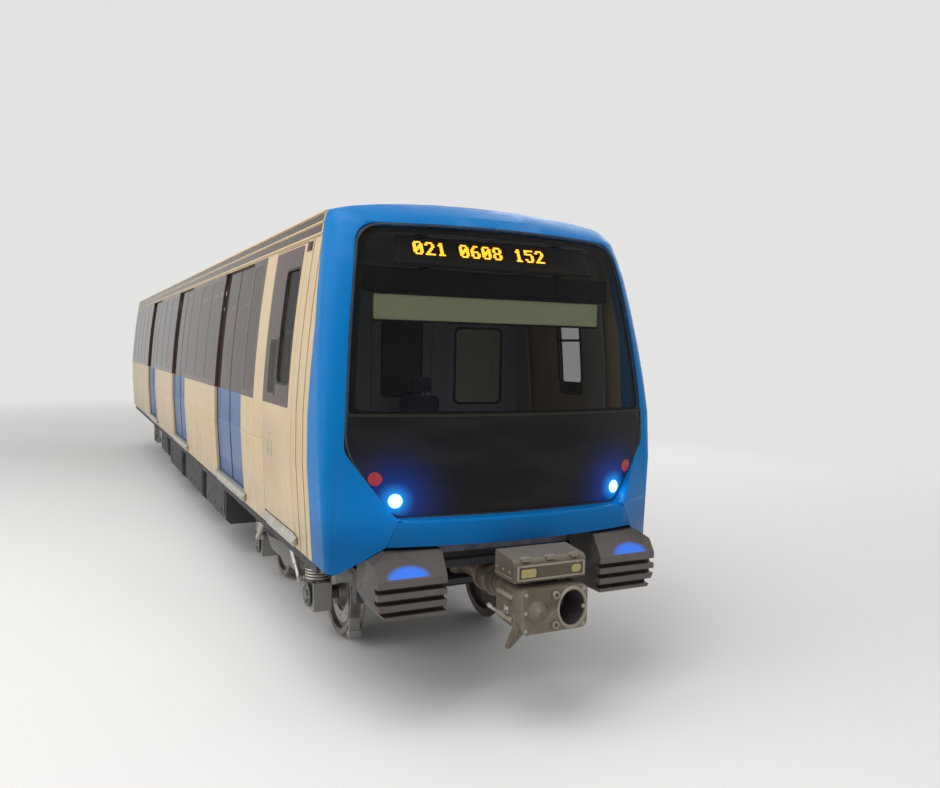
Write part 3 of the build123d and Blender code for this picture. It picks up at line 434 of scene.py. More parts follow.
def bufferFinish():
    material = wornMetal("bufferSteel", (0.044, 0.036, 0.034), 0.5, 0.2, wear=(0.20, 0.18, 0.165))
    tree = material.node_tree
    parts = placeParts(tree, objectCoordinates(tree))
    side = ranged(tree, combined(tree, "ABSOLUTE", parts["X"]), *lightPatch["x"], -1, 1)
    rise = combined(tree, "SUBTRACT", parts["Z"], lightPatch["z"])
    rise = combined(tree, "DIVIDE", rise, lightPatch["high"])
    squares = [combined(tree, "MULTIPLY", part, part) for part in (side, rise)]
    patch = ranged(tree, combined(tree, "ADD", *squares), 0.45, 1.0, 1, 0)
    foot = ranged(tree, parts["Z"], lightPatch["z"] - 0.004, lightPatch["z"] + 0.002)
    patch = combined(tree, "MULTIPLY", patch, foot)
    front = ranged(tree, parts["Y"], *lightPatch["front"], 1, 0)
    patch = combined(tree, "MULTIPLY", patch, front)
    surface = overlaid(tree, patch, lightPatch["colour"])
    strength = ranged(tree, patch, 0, 1, 0, lightPatch["strength"])
    setInputs(surface, {"Emission Color": lightPatch["glow"], "Emission Strength": strength})
    return onlySeen(material)


finishes = {}


def makeFinishes():
    finishes.update({
        "body_cream": paint("creamPaint", colours["cream"], 0.34, coat=0.1, dirt=0.6),
        "mask_blue": maskFinish(),
        "door_blue": doorFinish(),
        "band_black": paint("bandPaint", colours["band"], 0.16, shine=0.07),
        "dark_glass": tinted("sideGlass", (0.060, 0.041, 0.035), 0.82, shine=0.08),
        "cab_door_glass": tinted("cabDoorGlass", (0, 0, 0), 0.34, shine=0.10),
        "screen_glass": tinted("screenGlass", (0, 0, 0), 0.26),
        "gloss_black": apronFinish(),
        "headlamp_lens": headlampFinish(),
        "tail_lens": onlySeen(glow("tailLens", (0.26, 0.010, 0.022), 0.35, 0.2)),
        "display_black": paint("displayCase", (0.030, 0.027, 0.022), 0.45, grain=0, shine=0.10),
        "border_black": paint("borderBlack", (0.008, 0.008, 0.009), 0.45, grain=0, shine=0.10),
        "buffer_steel": bufferFinish(),
        "coupler_cast": wornMetal("couplerCast", (0.155, 0.128, 0.095), 0.5, 0.2,
                                  (0.42, 0.38, 0.31)),
        "coupler_box": wornMetal("couplerBox", (0.105, 0.082, 0.062), 0.42, 0.2,
                                 (0.34, 0.31, 0.25)),
        # painted shade for the hollow of the coupler's funnel
        "funnel_dark": wornMetal("funnelShadePaint", (0.030, 0.026, 0.028), 0.6, 0.1, (0.1, 0.1, 0.1)),
        "roof_paint": paint("roofPaint", (0.47, 0.45, 0.41), 0.6, grain=0.1, dirt=0.2, dirtTop=1.0),
        "sill_metal": wornMetal("sillMetal", (0.50, 0.47, 0.41), 0.35, 0.7, rust=0.05),
        "underframe_paint": paint("underframePaint", (0.055, 0.055, 0.06), 0.6, grain=0.15),
        "floor_rubber": rubber("floorRubber", (0.12, 0.13, 0.15)),
        "lining_panel": paint("liningPanel", (0.42, 0.42, 0.39), 0.4),
        "cab_panel": paint("cabPanel", (0.40, 0.43, 0.45), 0.5),
        "desk_black": rubber("deskPlastic", (0.035, 0.035, 0.04), 0.5),
        "seat_fabric": cloth("seatCloth", (0.018, 0.030, 0.075), (0.05, 0.075, 0.15)),
        "seat_shell": paint("seatShell", (0.07, 0.15, 0.34), 0.35),
        "pole_steel": wornMetal("poleSteel", (0.62, 0.62, 0.62), 0.28, 1.0, rust=0.0),
        "bogie_paint": wornMetal("bogiePaint", (0.085, 0.08, 0.075), 0.6, 0.15),
        "bogie_rubber": rubber("bellowsRubber"),
        "wheel_steel": wornMetal("wheelSteel", (0.24, 0.21, 0.19), 0.4, 0.9),
        "digit_amber": onlySeen(glow("digitAmber", (1.0, 0.38, 0.02), 5.0)),
        "ceiling_light": glow("ceilingLight", (1.0, 0.95, 0.86), 1.6),
        "visor_grey": paint("visorGrey", (0.50, 0.56, 0.33), 0.6, shine=0.1),
        "milky_glass": tinted("milkyGlass", (0.75, 0.70, 0.57), 0.85, 0.3),
        "brass": wornMetal("fittingBrass", (0.42, 0.36, 0.15), 0.45, 0.5, rust=0.1),
    })


# CAD pieces that keep their shape get smooth shading, a small edge radius and a finish

edgeRadius = {
    "front_mask": 0.006, "lower_beam": 0.0, "windscreen": 0.0, "front_apron": 0.0,
    "roof": 0.0, "side_windows": 0.0, "destination_display": 0.004, "grab_poles": 0.0,
    "floor": 0.0, "headlamps": 0.003, "tail_lamps": 0.003,
}
usualRadius = 0.004
sharpAngle = 35                 # degrees between faces from which an edge isn't smoothed
standIns = ("driver_seat",)     # nodes that get a piece of their own


def smoothShaded(mesh, angle=sharpAngle):
    for face in mesh.polygons:
        face.use_smooth = True
    mesh.set_sharp_from_angle(angle=math.radians(angle))


def roundEdges(piece, radius):
    bevel = piece.modifiers.new("edge", "BEVEL")
    bevel.width = radius
    bevel.segments = 2
    bevel.limit_method = "ANGLE"
    bevel.angle_limit = math.radians(sharpAngle)
    bevel.use_clamp_overlap = True
    bevel.harden_normals = True


def addPiece(name, bm, finish):
    mesh = bpy.data.meshes.new(name + "Mesh")
    bm.to_mesh(mesh)
    bm.free()
    mesh.materials.append(finish)
    return linked(name, mesh)


def dress(node, radius, finish):
    source = frame["nodes"][node]
    bm = bmesh.new()
    bm.from_mesh(source.data)
    bmesh.ops.remove_doubles(bm, verts=bm.verts, dist=0.00005)
    bmesh.ops.dissolve_limit(bm, angle_limit=math.radians(0.5), verts=bm.verts, edges=bm.edges)
    piece = addPiece(node + "_dressed", bm, finish)
    smoothShaded(piece.data)
    if radius:
        roundEdges(piece, radius)
    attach(piece, source["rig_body"])
    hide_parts(node)
    return piece


def dressAll():
    for part in record["subparts"]:
        node, slotName = part["node"], part["material_slot"]
        if node not in standIns:
            piece = dress(node, edgeRadius.get(node, usualRadius), finishes[slotName])


# Making new pieces

def newPiece(name, bm, body, slot, look=None, edge=0.0):
    bmesh.ops.recalc_face_normals(bm, faces=bm.faces)
    piece = addPiece(name, bm, finishes[look or slot])
    smoothShaded(piece.data)
    if edge:
        roundEdges(piece, edge)
    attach(piece, body)
    return piece


# gives an empty mesh to fill and makes a piece of it
@contextmanager
def making(name, body, slot, look=None, edge=0.0):
    bm = bmesh.new()
    yield bm
    newPiece(name, bm, body, slot, look, edge)


def bevelled(bm, geom, offset, segments, affect="EDGES", clamp=False):
    bmesh.ops.bevel(bm, geom=geom, offset=offset, segments=segments, profile=0.5, affect=affect,
                    material=-1, clamp_overlap=clamp)


# two opposite corners, in any order
def block(bm, corner, opposite, edge=0.0, turn=None):
    low, high = (Vector([pick(pair) for pair in zip(corner, opposite)]) for pick in (min, max))
    shape = (turn or Matrix()) @ Matrix.Diagonal((*(high - low), 1))
    made = bmesh.ops.create_cube(bm, size=1, matrix=Matrix.Translation((high + low) / 2) @ shape)
    if edge:
        edges = list({e for vert in made["verts"] for e in vert.link_edges})
        bevelled(bm, edges, edge, 2, clamp=True)


def blockAt(bm, middle, half, edge=0.0, turn=None):
    middle, half = Vector(middle), Vector(half)
    block(bm, middle - half, middle + half, edge, turn)


def rod(bm, start, end, radius, tip=None, sides=16):
    start, end = Vector(start), Vector(end)
    turn = (end - start).to_track_quat("Z", "Y").to_matrix().to_4x4()
    bmesh.ops.create_cone(bm, cap_ends=True, segments=sides, radius1=radius,
                          radius2=radius if tip is None else tip, depth=(end - start).length,
                          matrix=Matrix.Translation((start + end) / 2) @ turn)


# a rod across the car, or another way when axis says so, with its middle at a point
def rodAt(bm, middle, half, radius, axis="X", sides=16):
    reach = axes[axis][0] * half
    rod(bm, Vector(middle) - reach, Vector(middle) + reach, radius, sides=sides)


# each axis, and the direction in which a profile leaves it
axes = {"X": (Vector((1, 0, 0)), Vector((0, 0, 1))), "Y": (Vector((0, 1, 0)), Vector((0, 0, 1))),
        "Z": (Vector((0, 0, 1)), Vector((1, 0, 0)))}


# a profile of (along the axis, out from it) spun round; closed for a ring
def turned(bm, profile, centre, axis, count=32, way=1, closed=False, angle=math.tau, begin=0.0,
           place=None):
    along, out = axes[axis]
    out = Matrix.Rotation(begin, 3, along) @ out
    before = set(bm.verts)
    corners = [bm.verts.new(Vector(centre) + along * a * way + out * r) for a, r in profile]
    shape = corners + [bm.edges.new(pair) for pair in zip(corners, corners[1:])]
    if closed:
        shape.append(bm.edges.new((corners[-1], corners[0])))
        if angle < math.tau:
            shape.append(bm.faces.new(corners))
    bmesh.ops.spin(bm, geom=shape, cent=centre, axis=along, dvec=(0, 0, 0), angle=angle,
                   steps=count, use_merge=angle == math.tau)
    fresh = [vert for vert in bm.verts if vert not in before]
    bmesh.ops.remove_doubles(bm, verts=fresh, dist=0.00001)
    if place:
        fresh = [vert for vert in bm.verts if vert not in before]
        bmesh.ops.transform(bm, matrix=place, verts=fresh)


def coil(bm, foot, radius, wire, turns, height, count=16):
    start = Matrix.Translation(Vector(foot) + Vector((radius, 0, 0)))
    ring = bmesh.ops.create_circle(bm, cap_ends=True, segments=8, radius=wire,
                                   matrix=start @ Matrix.Rotation(math.pi / 2, 4, "X"))
    faces = list({face for vert in ring["verts"] for face in vert.link_faces})
    edges = list({edge for vert in ring["verts"] for edge in vert.link_edges})
    total = int(turns * count)
    bmesh.ops.spin(bm, geom=ring["verts"] + edges + faces, cent=foot, axis=(0, 0, 1),
                   dvec=(0, 0, height / total), angle=math.tau * turns, steps=total)


# a bolt's head on its washer; way is 1 or -1 along the axis
def boltHead(bm, place, axis, way, radius, height):
    along = axes[axis][0] * way
    foot = Vector(place)
    rod(bm, foot - along * 0.002, foot + along * 0.002, radius * 1.35)
    rod(bm, foot + along * 0.001, foot + along * height, radius, sides=6)


# Plates cut flat, bent on a surface of the car and given their thickness

wall = {"bend": 2.16, "waist": 1.45, "foot": 1.405, "footZ": 1.06, "slope": 0.0625,
        "centre": (-10.513664, 1.578464), "radius": 11.977789}


def wallHalf(z):
    if z < wall["bend"]:
        return min(wall["waist"], wall["foot"] + wall["slope"] * (z - wall["footZ"]))
    x, high = wall["centre"]
    return x + math.sqrt(wall["radius"] ** 2 - (z - high) ** 2)


nose = {
    "front": -8.72, "radius": 4.3,
    # height, how far it lies behind the front, corner radius
    "sections": [(1.0, -0.005, 0.11), (1.78, -0.001, 0.11), (2.16, 0.010, 0.16),
                 (2.45, 0.051, 0.20), (2.74, 0.106, 0.23), (3.03, 0.170, 0.26),
                 (3.30, 0.240, 0.28), (3.48, 0.308, 0.30), (3.60, 0.374, 0.30),
                 (3.69, 0.487, 0.30), (3.76, 0.620, 0.28), (3.85, 0.916, 0.28)],
}


def noseAt(x, z):
    rows = nose["sections"]
    low, high = next((pair for pair in zip(rows, rows[1:]) if z <= pair[1][0]), rows[-2:])
    part = (z - low[0]) / (high[0] - low[0])
    lean, corner = (low[k] + part * (high[k] - low[k]) for k in (1, 2))
    plan, side = nose["radius"], wallHalf(z) - corner
    centre = nose["front"] + lean + plan
    if abs(x) <= side * plan / (plan - corner):
        return centre - math.sqrt(plan ** 2 - x ** 2)
    cornerY = centre - math.sqrt((plan - corner) ** 2 - side ** 2)
    return cornerY - math.sqrt(max(corner ** 2 - (abs(x) - side) ** 2, 0))


# surfaces, each u, v and depth to a place: side wall (u along the car), nose, flat wall across it
def onWall(side, proud):
    return lambda u, v, deep=0.0: Vector((side * (wallHalf(v) + proud - deep), u, v))


def onNose(proud):
    return lambda u, v, deep=0.0: Vector((u, noseAt(u, v) - proud + deep, v))


def onFlat(y):
    return lambda u, v, deep=0.0: Vector((u, y + deep, v))


# corners of a rectangle, grown on all sides by out
def rect(u0, u1, v0, v1, out=0.0):
    return [(u0 - out, v0 - out), (u1 + out, v0 - out), (u1 + out, v1 + out), (u0 - out, v1 + out)]


def rectAt(u, v, halfU, halfV, out=0.0):
    return rect(u - halfU, u + halfU, v - halfV, v + halfV, out)


def between(low, high, count):
    return [low + (high - low) * k / count for k in range(1, count)]


# corners is one radius, or a radius for each point
def cutLoop(bm, points, corners):
    verts = [bm.verts.new((u, 0, v)) for u, v in points]
    bm.faces.new(verts)
    radii = corners if isinstance(corners, list) else [corners] * len(points)
    for vert, radius in zip(verts, radii):
        if radius:
            bevelled(bm, [vert], radius, 5, "VERTICES")
    bmesh.ops.delete(bm, geom=bm.faces[:], context="FACES_ONLY")


# outer and inner are loops, each its points and corner radii; across and along are values at
# which the plate is cut so that it can bend
def bentPlate(bm, surface, thick, outer, inner=None, across=(), along=()):
    part = bmesh.new()
    for loop in (outer, inner):
        if loop:
            cutLoop(part, *loop)
    bmesh.ops.triangle_fill(part, use_beauty=True, edges=part.edges[:])
    for values, normal in ((across, Vector((1, 0, 0))), (along, Vector((0, 0, 1)))):
        for value in values:
            everything = part.verts[:] + part.edges[:] + part.faces[:]
            bmesh.ops.bisect_plane(part, geom=everything, dist=0.00001,
                                   plane_co=normal * value, plane_no=normal)
    places = {vert: surface(vert.co.x, vert.co.z) for vert in part.verts}
    grown = bmesh.ops.extrude_face_region(part, geom=part.faces[:])
    fresh = [item for item in grown["geom"] if isinstance(item, bmesh.types.BMVert)]
    places.update({vert: surface(vert.co.x, vert.co.z, thick) for vert in fresh})
    for vert, place in places.items():
        if vert.is_valid:
            vert.co = place
    mesh = bpy.data.meshes.new("joined")
    part.to_mesh(mesh)
    part.free()
    bm.from_mesh(mesh)
    bpy.data.meshes.remove(mesh)


# Front: gasket, printed border, foot strip, lamp rings

panel = {"foot": (0.966, 1.455), "bend": (1.300, 1.930), "middle": (1.243, 2.760),
         "top": (1.129, 3.580), "crown": (0.4, 3.599), "heights": (2.35, 2.76, 3.17)}
panelRadius = {"foot": 0.06, "bend": 0.13, "side": 0.1, "top": 0.17, "crown": 0.25}
gasket = {"width": 0.013, "proud": 0.002, "thick": 0.006}
border = {"inset": 0.012, "width": 0.070, "behind": 0.0215, "thick": 0.003, "low": 2.182,
          "inner": 2.215, "corner": 0.10}
footStrip = {"size": (-1.268, 1.268, 2.176, 2.194), "corner": 0.004, "proud": 0.0025,
             "thick": 0.006}
# name, x, z, radius
lampRings = [("headlamp_rings", 0.948, 1.576, 0.051), ("tail_lamp_rings", 1.090, 1.736, 0.047)]
ringProfile = [(0.012, 0.0), (-0.004, 0.0), (-0.007, 0.004), (-0.004, 0.010), (0.002, 0.013),
               (0.012, 0.013)]


def threePointArc(first, middle, last):
    (ax, ay), (bx, by), (cx, cy) = first, middle, last
    turn = 2 * (ax * (by - cy) + bx * (cy - ay) + cx * (ay - by))
    a, b, c = ax * ax + ay * ay, bx * bx + by * by, cx * cx + cy * cy
    x = (a * (by - cy) + b * (cy - ay) + c * (ay - by)) / turn
    y = (a * (cx - bx) + b * (ax - cx) + c * (bx - ax)) / turn
    return x, y, math.hypot(ax - x, ay - y)


sideArc = threePointArc(panel["top"], panel["middle"], panel["bend"])


def panelHalf(z):
    x, high, radius = sideArc
    return x + math.sqrt(radius ** 2 - (z - high) ** 2)


# the panel's outline, drawn in by inset; with foot, only what is above that height
def panelLoop(inset, foot=None):
    top = panel["top"][1]
    right = [(panelHalf(z) - inset, z) for z in panel["heights"]]
    right.append((panelHalf(top) - inset, top - inset))
    radii = [panelRadius["side"]] * 3 + [panelRadius["top"] - inset * 0.7]
    if foot is None:
        (footX, footZ), (bendX, bendZ) = panel["foot"], panel["bend"]
        right = [(footX - inset * 0.6, footZ + inset), (bendX - inset, bendZ)] + right
        radii = [panelRadius["foot"], panelRadius["bend"]] + radii
    else:
        right = [(panelHalf(foot) - inset, foot)] + right
        radii = [border["corner"]] + radii
    x, z = panel["crown"]
    crown = [(x, z - inset), (-x, z - inset)]
    points = right + crown + [(-x, z) for x, z in reversed(right)]
    return points, radii + [panelRadius["crown"]] * 2 + radii[::-1]


def dressFront():
    across = between(-1.3, 1.3, 40)
    along = [row[0] for row in nose["sections"][1:9]] + [2.3, 2.6, 2.9, 3.15, 3.4, 3.54]
    with making("panel_gasket", "body", "bogie_rubber") as bm:
        bentPlate(bm, onNose(gasket["proud"]), gasket["thick"], panelLoop(0),
                  panelLoop(gasket["width"]), across, along)
    with making("windscreen_border", "body", "display_black", "border_black") as bm:
        bentPlate(bm, onNose(-border["behind"]), border["thick"],
                  panelLoop(border["inset"], border["low"]),
                  panelLoop(border["width"], border["inner"]), across, along)
    with making("windscreen_foot_strip", "body", "bogie_rubber", "display_black") as bm:
        bentPlate(bm, onNose(footStrip["proud"]), footStrip["thick"],
                  (rect(*footStrip["size"]), footStrip["corner"]), across=across)
    for name, x, z, radius in lampRings:
        profile = [(a, r + radius) for a, r in ringProfile]
        face = nose["front"] + nose["radius"] - math.sqrt(nose["radius"] ** 2 - x ** 2)
        lean = math.asin(x / nose["radius"])
        with making(name, "body", "gloss_black") as bm:
            for side in (1, -1):
                turn = Matrix.Rotation(side * lean, 4, "Z")
                turned(bm, profile, (0, 0, 0), "Y", 40, closed=True,
                       place=Matrix.Translation((side * x, face, z)) @ turn)


# Display: amber dots as plain numbers, on the sloping face of the case

# five dots of each row as the bits of a number
digitRows = {
    "0": (14, 17, 19, 21, 25, 17, 14), "1": (4, 12, 4, 4, 4, 4, 14),
    "2": (14, 17, 1, 2, 4, 8, 31), "5": (31, 16, 30, 1, 1, 17, 14),
    "6": (6, 8, 16, 30, 17, 17, 14), "8": (14, 17, 17, 14, 17, 17, 14),
}
display = {"text": "021 0608 152", "start": -0.70, "half": 0.78, "pitch": 0.0138,
           "rowPitch": 0.0168, "dot": 0.0086, "proud": 0.003, "deep": 0.0085, "middle": 0.142,
           "foot": (-8.355, 3.295), "up": (0.110, 0.215), "letter": 7, "before": 6, "after": 20}


def isLit(column, row):
    letter, within = divmod(column, display["letter"])
    if not 0 <= letter < len(display["text"]) or within > 5:
        return False
    bits = digitRows.get(display["text"][letter], (0,) * 7)[row]
    return bool((bits | bits << 1) >> (5 - within) & 1)     # strokes are two dots wide


def makeDisplay():
    upwards = Vector((0, *display["up"])).normalized()
    outwards = Vector((1, 0, 0)).cross(upwards)
    foot = Vector((0, *display["foot"])) - outwards * display["deep"]
    lit, unlit = bmesh.new(), bmesh.new()
    columns = len(display["text"]) * display["letter"]
    for column in range(-display["before"], columns + display["after"]):
        x = display["start"] + column * display["pitch"]
        for row in range(7) if abs(x) <= display["half"] else ():
            rise = display["middle"] + (3 - row) * display["rowPitch"]
            centre = foot + Vector((x, 0, 0)) + upwards * rise
            on = isLit(column, row)
            size = display["dot"] * (1 if on else 0.5)
            rod(lit if on else unlit, centre - outwards * 0.002,
                centre + outwards * display["proud"], size, size * 0.8, 6)
    newPiece("display_digits", lit, "body", "headlamp_lens", "digit_amber")
    newPiece("display_dots_off", unlit, "body", "display_black", "border_black")


# Sun visor: a stiff panel on two arms under the display

visor = {"half": 1.0, "low": 2.872, "high": 3.068, "y": -8.244, "thick": 0.012, "arm": 0.60,
         "housing": 1.10, "housingTop": 3.268, "armTop": 3.28, "mount": (3.262, 3.30)}


def makeVisor():
    half, low, high, y = (visor[k] for k in ("half", "low", "high", "y"))
    mountLow, mountTop = visor["mount"]
    with making("sun_visor", "body", "display_black", "visor_grey", 0.003) as bm:
        bentPlate(bm, onFlat(y - visor["thick"] / 2), visor["thick"],
                  (rect(-half, half, low, high), 0.02))
    with making("sun_visor_frame", "body", "display_black", "border_black") as bm:
        block(bm, (-half, y - 0.014, low - 0.012), (half, y + 0.014, low + 0.004), 0.004)
        block(bm, (-half, y - 0.016, high - 0.004), (half, y + 0.016, high + 0.024), 0.005)
        block(bm, (-visor["housing"], y + 0.004, high + 0.010),
              (visor["housing"], y + 0.020, visor["housingTop"]), 0.006)
        for x in (-visor["arm"], visor["arm"]):
            rod(bm, (x, y, high + 0.02), (x, y, visor["armTop"]), 0.009)
            block(bm, (x - 0.03, y - 0.02, mountLow), (x + 0.03, y + 0.03, mountTop), 0.004)
            rodAt(bm, (x, y, high + 0.012), 0.035, 0.016)


# Coupler: bolts, hinges and plugs of the electrical box, air nozzles and the release rod

electricBox = {"face": -9.210, "half": 0.295, "low": 1.064, "top": 1.190,
               "hinges": (-0.20, 0.0, 0.20), "sideBolts": (0.07, 0.16, 0.25), "sideZ": 1.13,
               "bead": (0.03, 0.285, 1.086, 1.096)}
# middle, half size, corner radius
plugs = [((-0.185, 1.128), (0.060, 0.030), 0.012), ((0.205, 1.130), (0.040, 0.028), 0.026)]
couplerFace = {"y": -9.27, "boltX": 0.235, "boltZ": (0.745, 0.87, 0.995),
               "nozzleZ": (0.975, 0.765), "funnel": (0.14, -9.27, 0.87)}
couplerProfiles = {
    "nozzle": [(0.0, 0.0), (-0.012, 0.0), (-0.012, 0.010), (-0.022, 0.014), (-0.022, 0.026),
               (-0.010, 0.030), (0.0, 0.030)],
    "rim": [(0.0, 0.106), (-0.010, 0.108), (-0.014, 0.116), (-0.010, 0.124), (0.0, 0.126)],
    "lining": [(-0.001, 0.1035), (0.187, 0.0580), (0.187, 0.0), (0.184, 0.0), (0.184, 0.0565),
               (0.002, 0.1005)],
}
releaseRod = {"radius": 0.011, "points": [
    (-0.240, -9.060, 0.842), (-0.295, -9.082, 0.838), (-0.345, -9.095, 0.850),
    (-0.390, -9.100, 0.872), (-0.425, -9.100, 0.900)]}


# the funnel is higher than wide
def funnelPlace(high):
    return Matrix.Translation(couplerFace["funnel"]) @ Matrix.Diagonal((1, 1, high, 1))


def dressCoupler():
    y, half, low, top = (electricBox[k] for k in ("face", "half", "low", "top"))
    with making("coupler_box_fittings", "front_coupler", "coupler_box") as bm:
        bentPlate(bm, onFlat(y - 0.005), 0.008,
                  (rect(-half + 0.018, half - 0.018, low + 0.012, top - 0.004), 0.014),
                  (rect(-half + 0.034, half - 0.034, low + 0.026, top - 0.018), 0.010))
        near, far, beadLow, beadTop = electricBox["bead"]
        block(bm, (-half - 0.005, y + near, beadLow), (half + 0.005, y + far, beadTop), 0.003)
        for x in electricBox["hinges"]:
            blockAt(bm, (x, y + 0.027, top + 0.029), (0.028, 0.023, 0.013), 0.004)
            rodAt(bm, (x, y + 0.034, top + 0.036), 0.036, 0.011)
        for x in (-half + 0.045, half - 0.045):
            for z in (low + 0.020, top - 0.010):
                boltHead(bm, (x, y - 0.003, z), "Y", -1, 0.007, 0.006)
        for side in (-1, 1):
            for along in electricBox["sideBolts"]:
                place = (side * half, y + along, electricBox["sideZ"])
                boltHead(bm, place, "X", side, 0.008, 0.006)
    with making("coupler_box_plugs", "front_coupler", "sill_metal", "brass", 0.001) as bm:
        for middle, size, corner in plugs:
            bentPlate(bm, onFlat(y - 0.006), 0.010, (rectAt(*middle, *size), corner))
        (x, z), (reach, _), _ = plugs[0]
        for place in (x - reach + 0.010, x + reach - 0.010):
            boltHead(bm, (place, y - 0.006, z), "Y", -1, 0.005, 0.005)

    face = couplerFace["y"]
    with making("coupler_face_fittings", "front_coupler", "coupler_cast") as bm:
        for x in (-couplerFace["boltX"], couplerFace["boltX"]):
            for z in couplerFace["boltZ"]:
                boltHead(bm, (x, face, z), "Y", -1, 0.011, 0.009)
        for z in couplerFace["nozzleZ"]:
            turned(bm, couplerProfiles["nozzle"], (0, face, z), "Y", 24)
        turned(bm, couplerProfiles["rim"], (0, 0, 0), "Y", 40, closed=True, place=funnelPlace(1.19))

    radius, points = releaseRod["radius"], releaseRod["points"]
    with making("coupler_release_rod", "front_coupler", "coupler_cast", "sill_metal") as bm:
        for start, end in zip(points, points[1:]):
            rod(bm, start, end, radius)
        for place in points[1:-1]:
            bmesh.ops.create_uvsphere(bm, u_segments=12, v_segments=8, radius=radius + 0.0002,
                                      matrix=Matrix.Translation(place))
        block(bm, (-0.275, -9.09, 0.815), (-0.245, -9.03, 0.868), 0.005)
        rod(bm, (-0.420, -9.10, 0.897), (-0.440, -9.10, 0.913), 0.016, 0.013)
    # painted shade: a near-black sheet in the funnel's hollow darkens the cast metal there
    with making("coupler_funnel_shade_sheet", "front_coupler", "coupler_cast", "funnel_dark") as bm:
        turned(bm, couplerProfiles["lining"], (0, 0, 0), "Y", 40, closed=True,
               place=funnelPlace(1.22))
    with making("coupler_ribs", "front_coupler", "coupler_cast") as bm:
        for x in (-0.255, 0.255):
            for z in (0.79, 0.95):
                blockAt(bm, (x, -9.04, z), (0.03, 0.11, 0.014), 0.005)
        block(bm, (-0.10, -9.12, 0.700), (0.10, -8.95, 0.722), 0.005)
        rod(bm, (0, -9.03, 0.66), (0, -9.03, 0.71), 0.045, 0.055, 24)


# Sides: glazing over the leaves and cab doors, seals, handles, painted shade in the roof-edge
# grooves and vents

leaf = {"inset": 0.037, "thick": 0.036, "glass": 0.003, "glassZ": (2.156, 3.508), "seal": 0.014,
        "sealZ": (1.184, 3.516), "sealThick": 0.0395, "lip": 0.004, "windowZ": 2.780,
        "windowHalf": (0.280, 0.500), "windowShift": 0.01, "corner": 0.07}


# leading and trailing are the leaf's edges along the car
def leafFittings(name, side, body, leading, trailing):
    way = 1 if trailing > leading else -1
    heights = between(*leaf["glassZ"], 10)
    inner = leading + way * leaf["seal"]
    with making(name + "_glass", body, "dark_glass") as bm:
        span = sorted((inner, trailing - way * leaf["lip"]))
        bentPlate(bm, onWall(side, leaf["glass"] - leaf["inset"]), leaf["glass"] - 0.0001,
                  (rect(*span, *leaf["glassZ"]), 0.006), along=heights)
    with making(name + "_edge_seal", body, "bogie_rubber") as bm:
        bentPlate(bm, onWall(side, leaf["lip"] - leaf["inset"]), leaf["sealThick"],
                  (rect(*sorted((leading, inner)), *leaf["sealZ"]), 0.003),
                  along=between(*leaf["sealZ"], 14))
    centre = (leading + trailing) / 2 - way * leaf["windowShift"]
    outer, inside = (rectAt(centre, leaf["windowZ"], *leaf["windowHalf"], out)
                     for out in (leaf["lip"], -0.022))
    with making(name + "_window_frame", body, "bogie_rubber") as bm:
        bentPlate(bm, onWall(side, leaf["lip"] - leaf["inset"] - leaf["thick"]), 0.008,
                  (outer, leaf["corner"]), (inside, leaf["corner"] * 0.75), along=heights)


def dressLeaves():
    for name, node in frame["nodes"].items():
        if name.startswith("door_") and name.count("_") == 3:
            low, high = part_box(name)
            ends = (high[1], low[1]) if name.endswith("front") else (low[1], high[1])
            leafFittings(name, 1 if low[0] > 0 else -1, node["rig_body"], *ends)


# rectangles are start and end along the car, low and top
cabGlass = {"size": (-7.51, -6.612, 2.165, 3.470), "corner": 0.012, "proud": 0.003, "thick": 0.0029}
cabPane = {"size": (-7.49, -7.07, 2.34, 3.30), "corner": 0.05, "bar": (2.758, 2.782),
           "plate": (2.235, 2.344), "lip": 0.002}
cabSlot = {"size": (-7.030, -6.765, 2.235, 2.735), "width": 0.02, "cuts": (2.4, 2.6)}
cabHandle = {"size": (-6.97, -6.80, 1.70, 1.84), "width": 0.015,
             "grip": (-6.958, -6.812, 1.755, 1.785), "lock": (-6.885, 1.91)}
lockProfile = [(0, 0.0), (0.006, 0.0), (0.006, 0.016), (0.003, 0.020), (0, 0.020)]


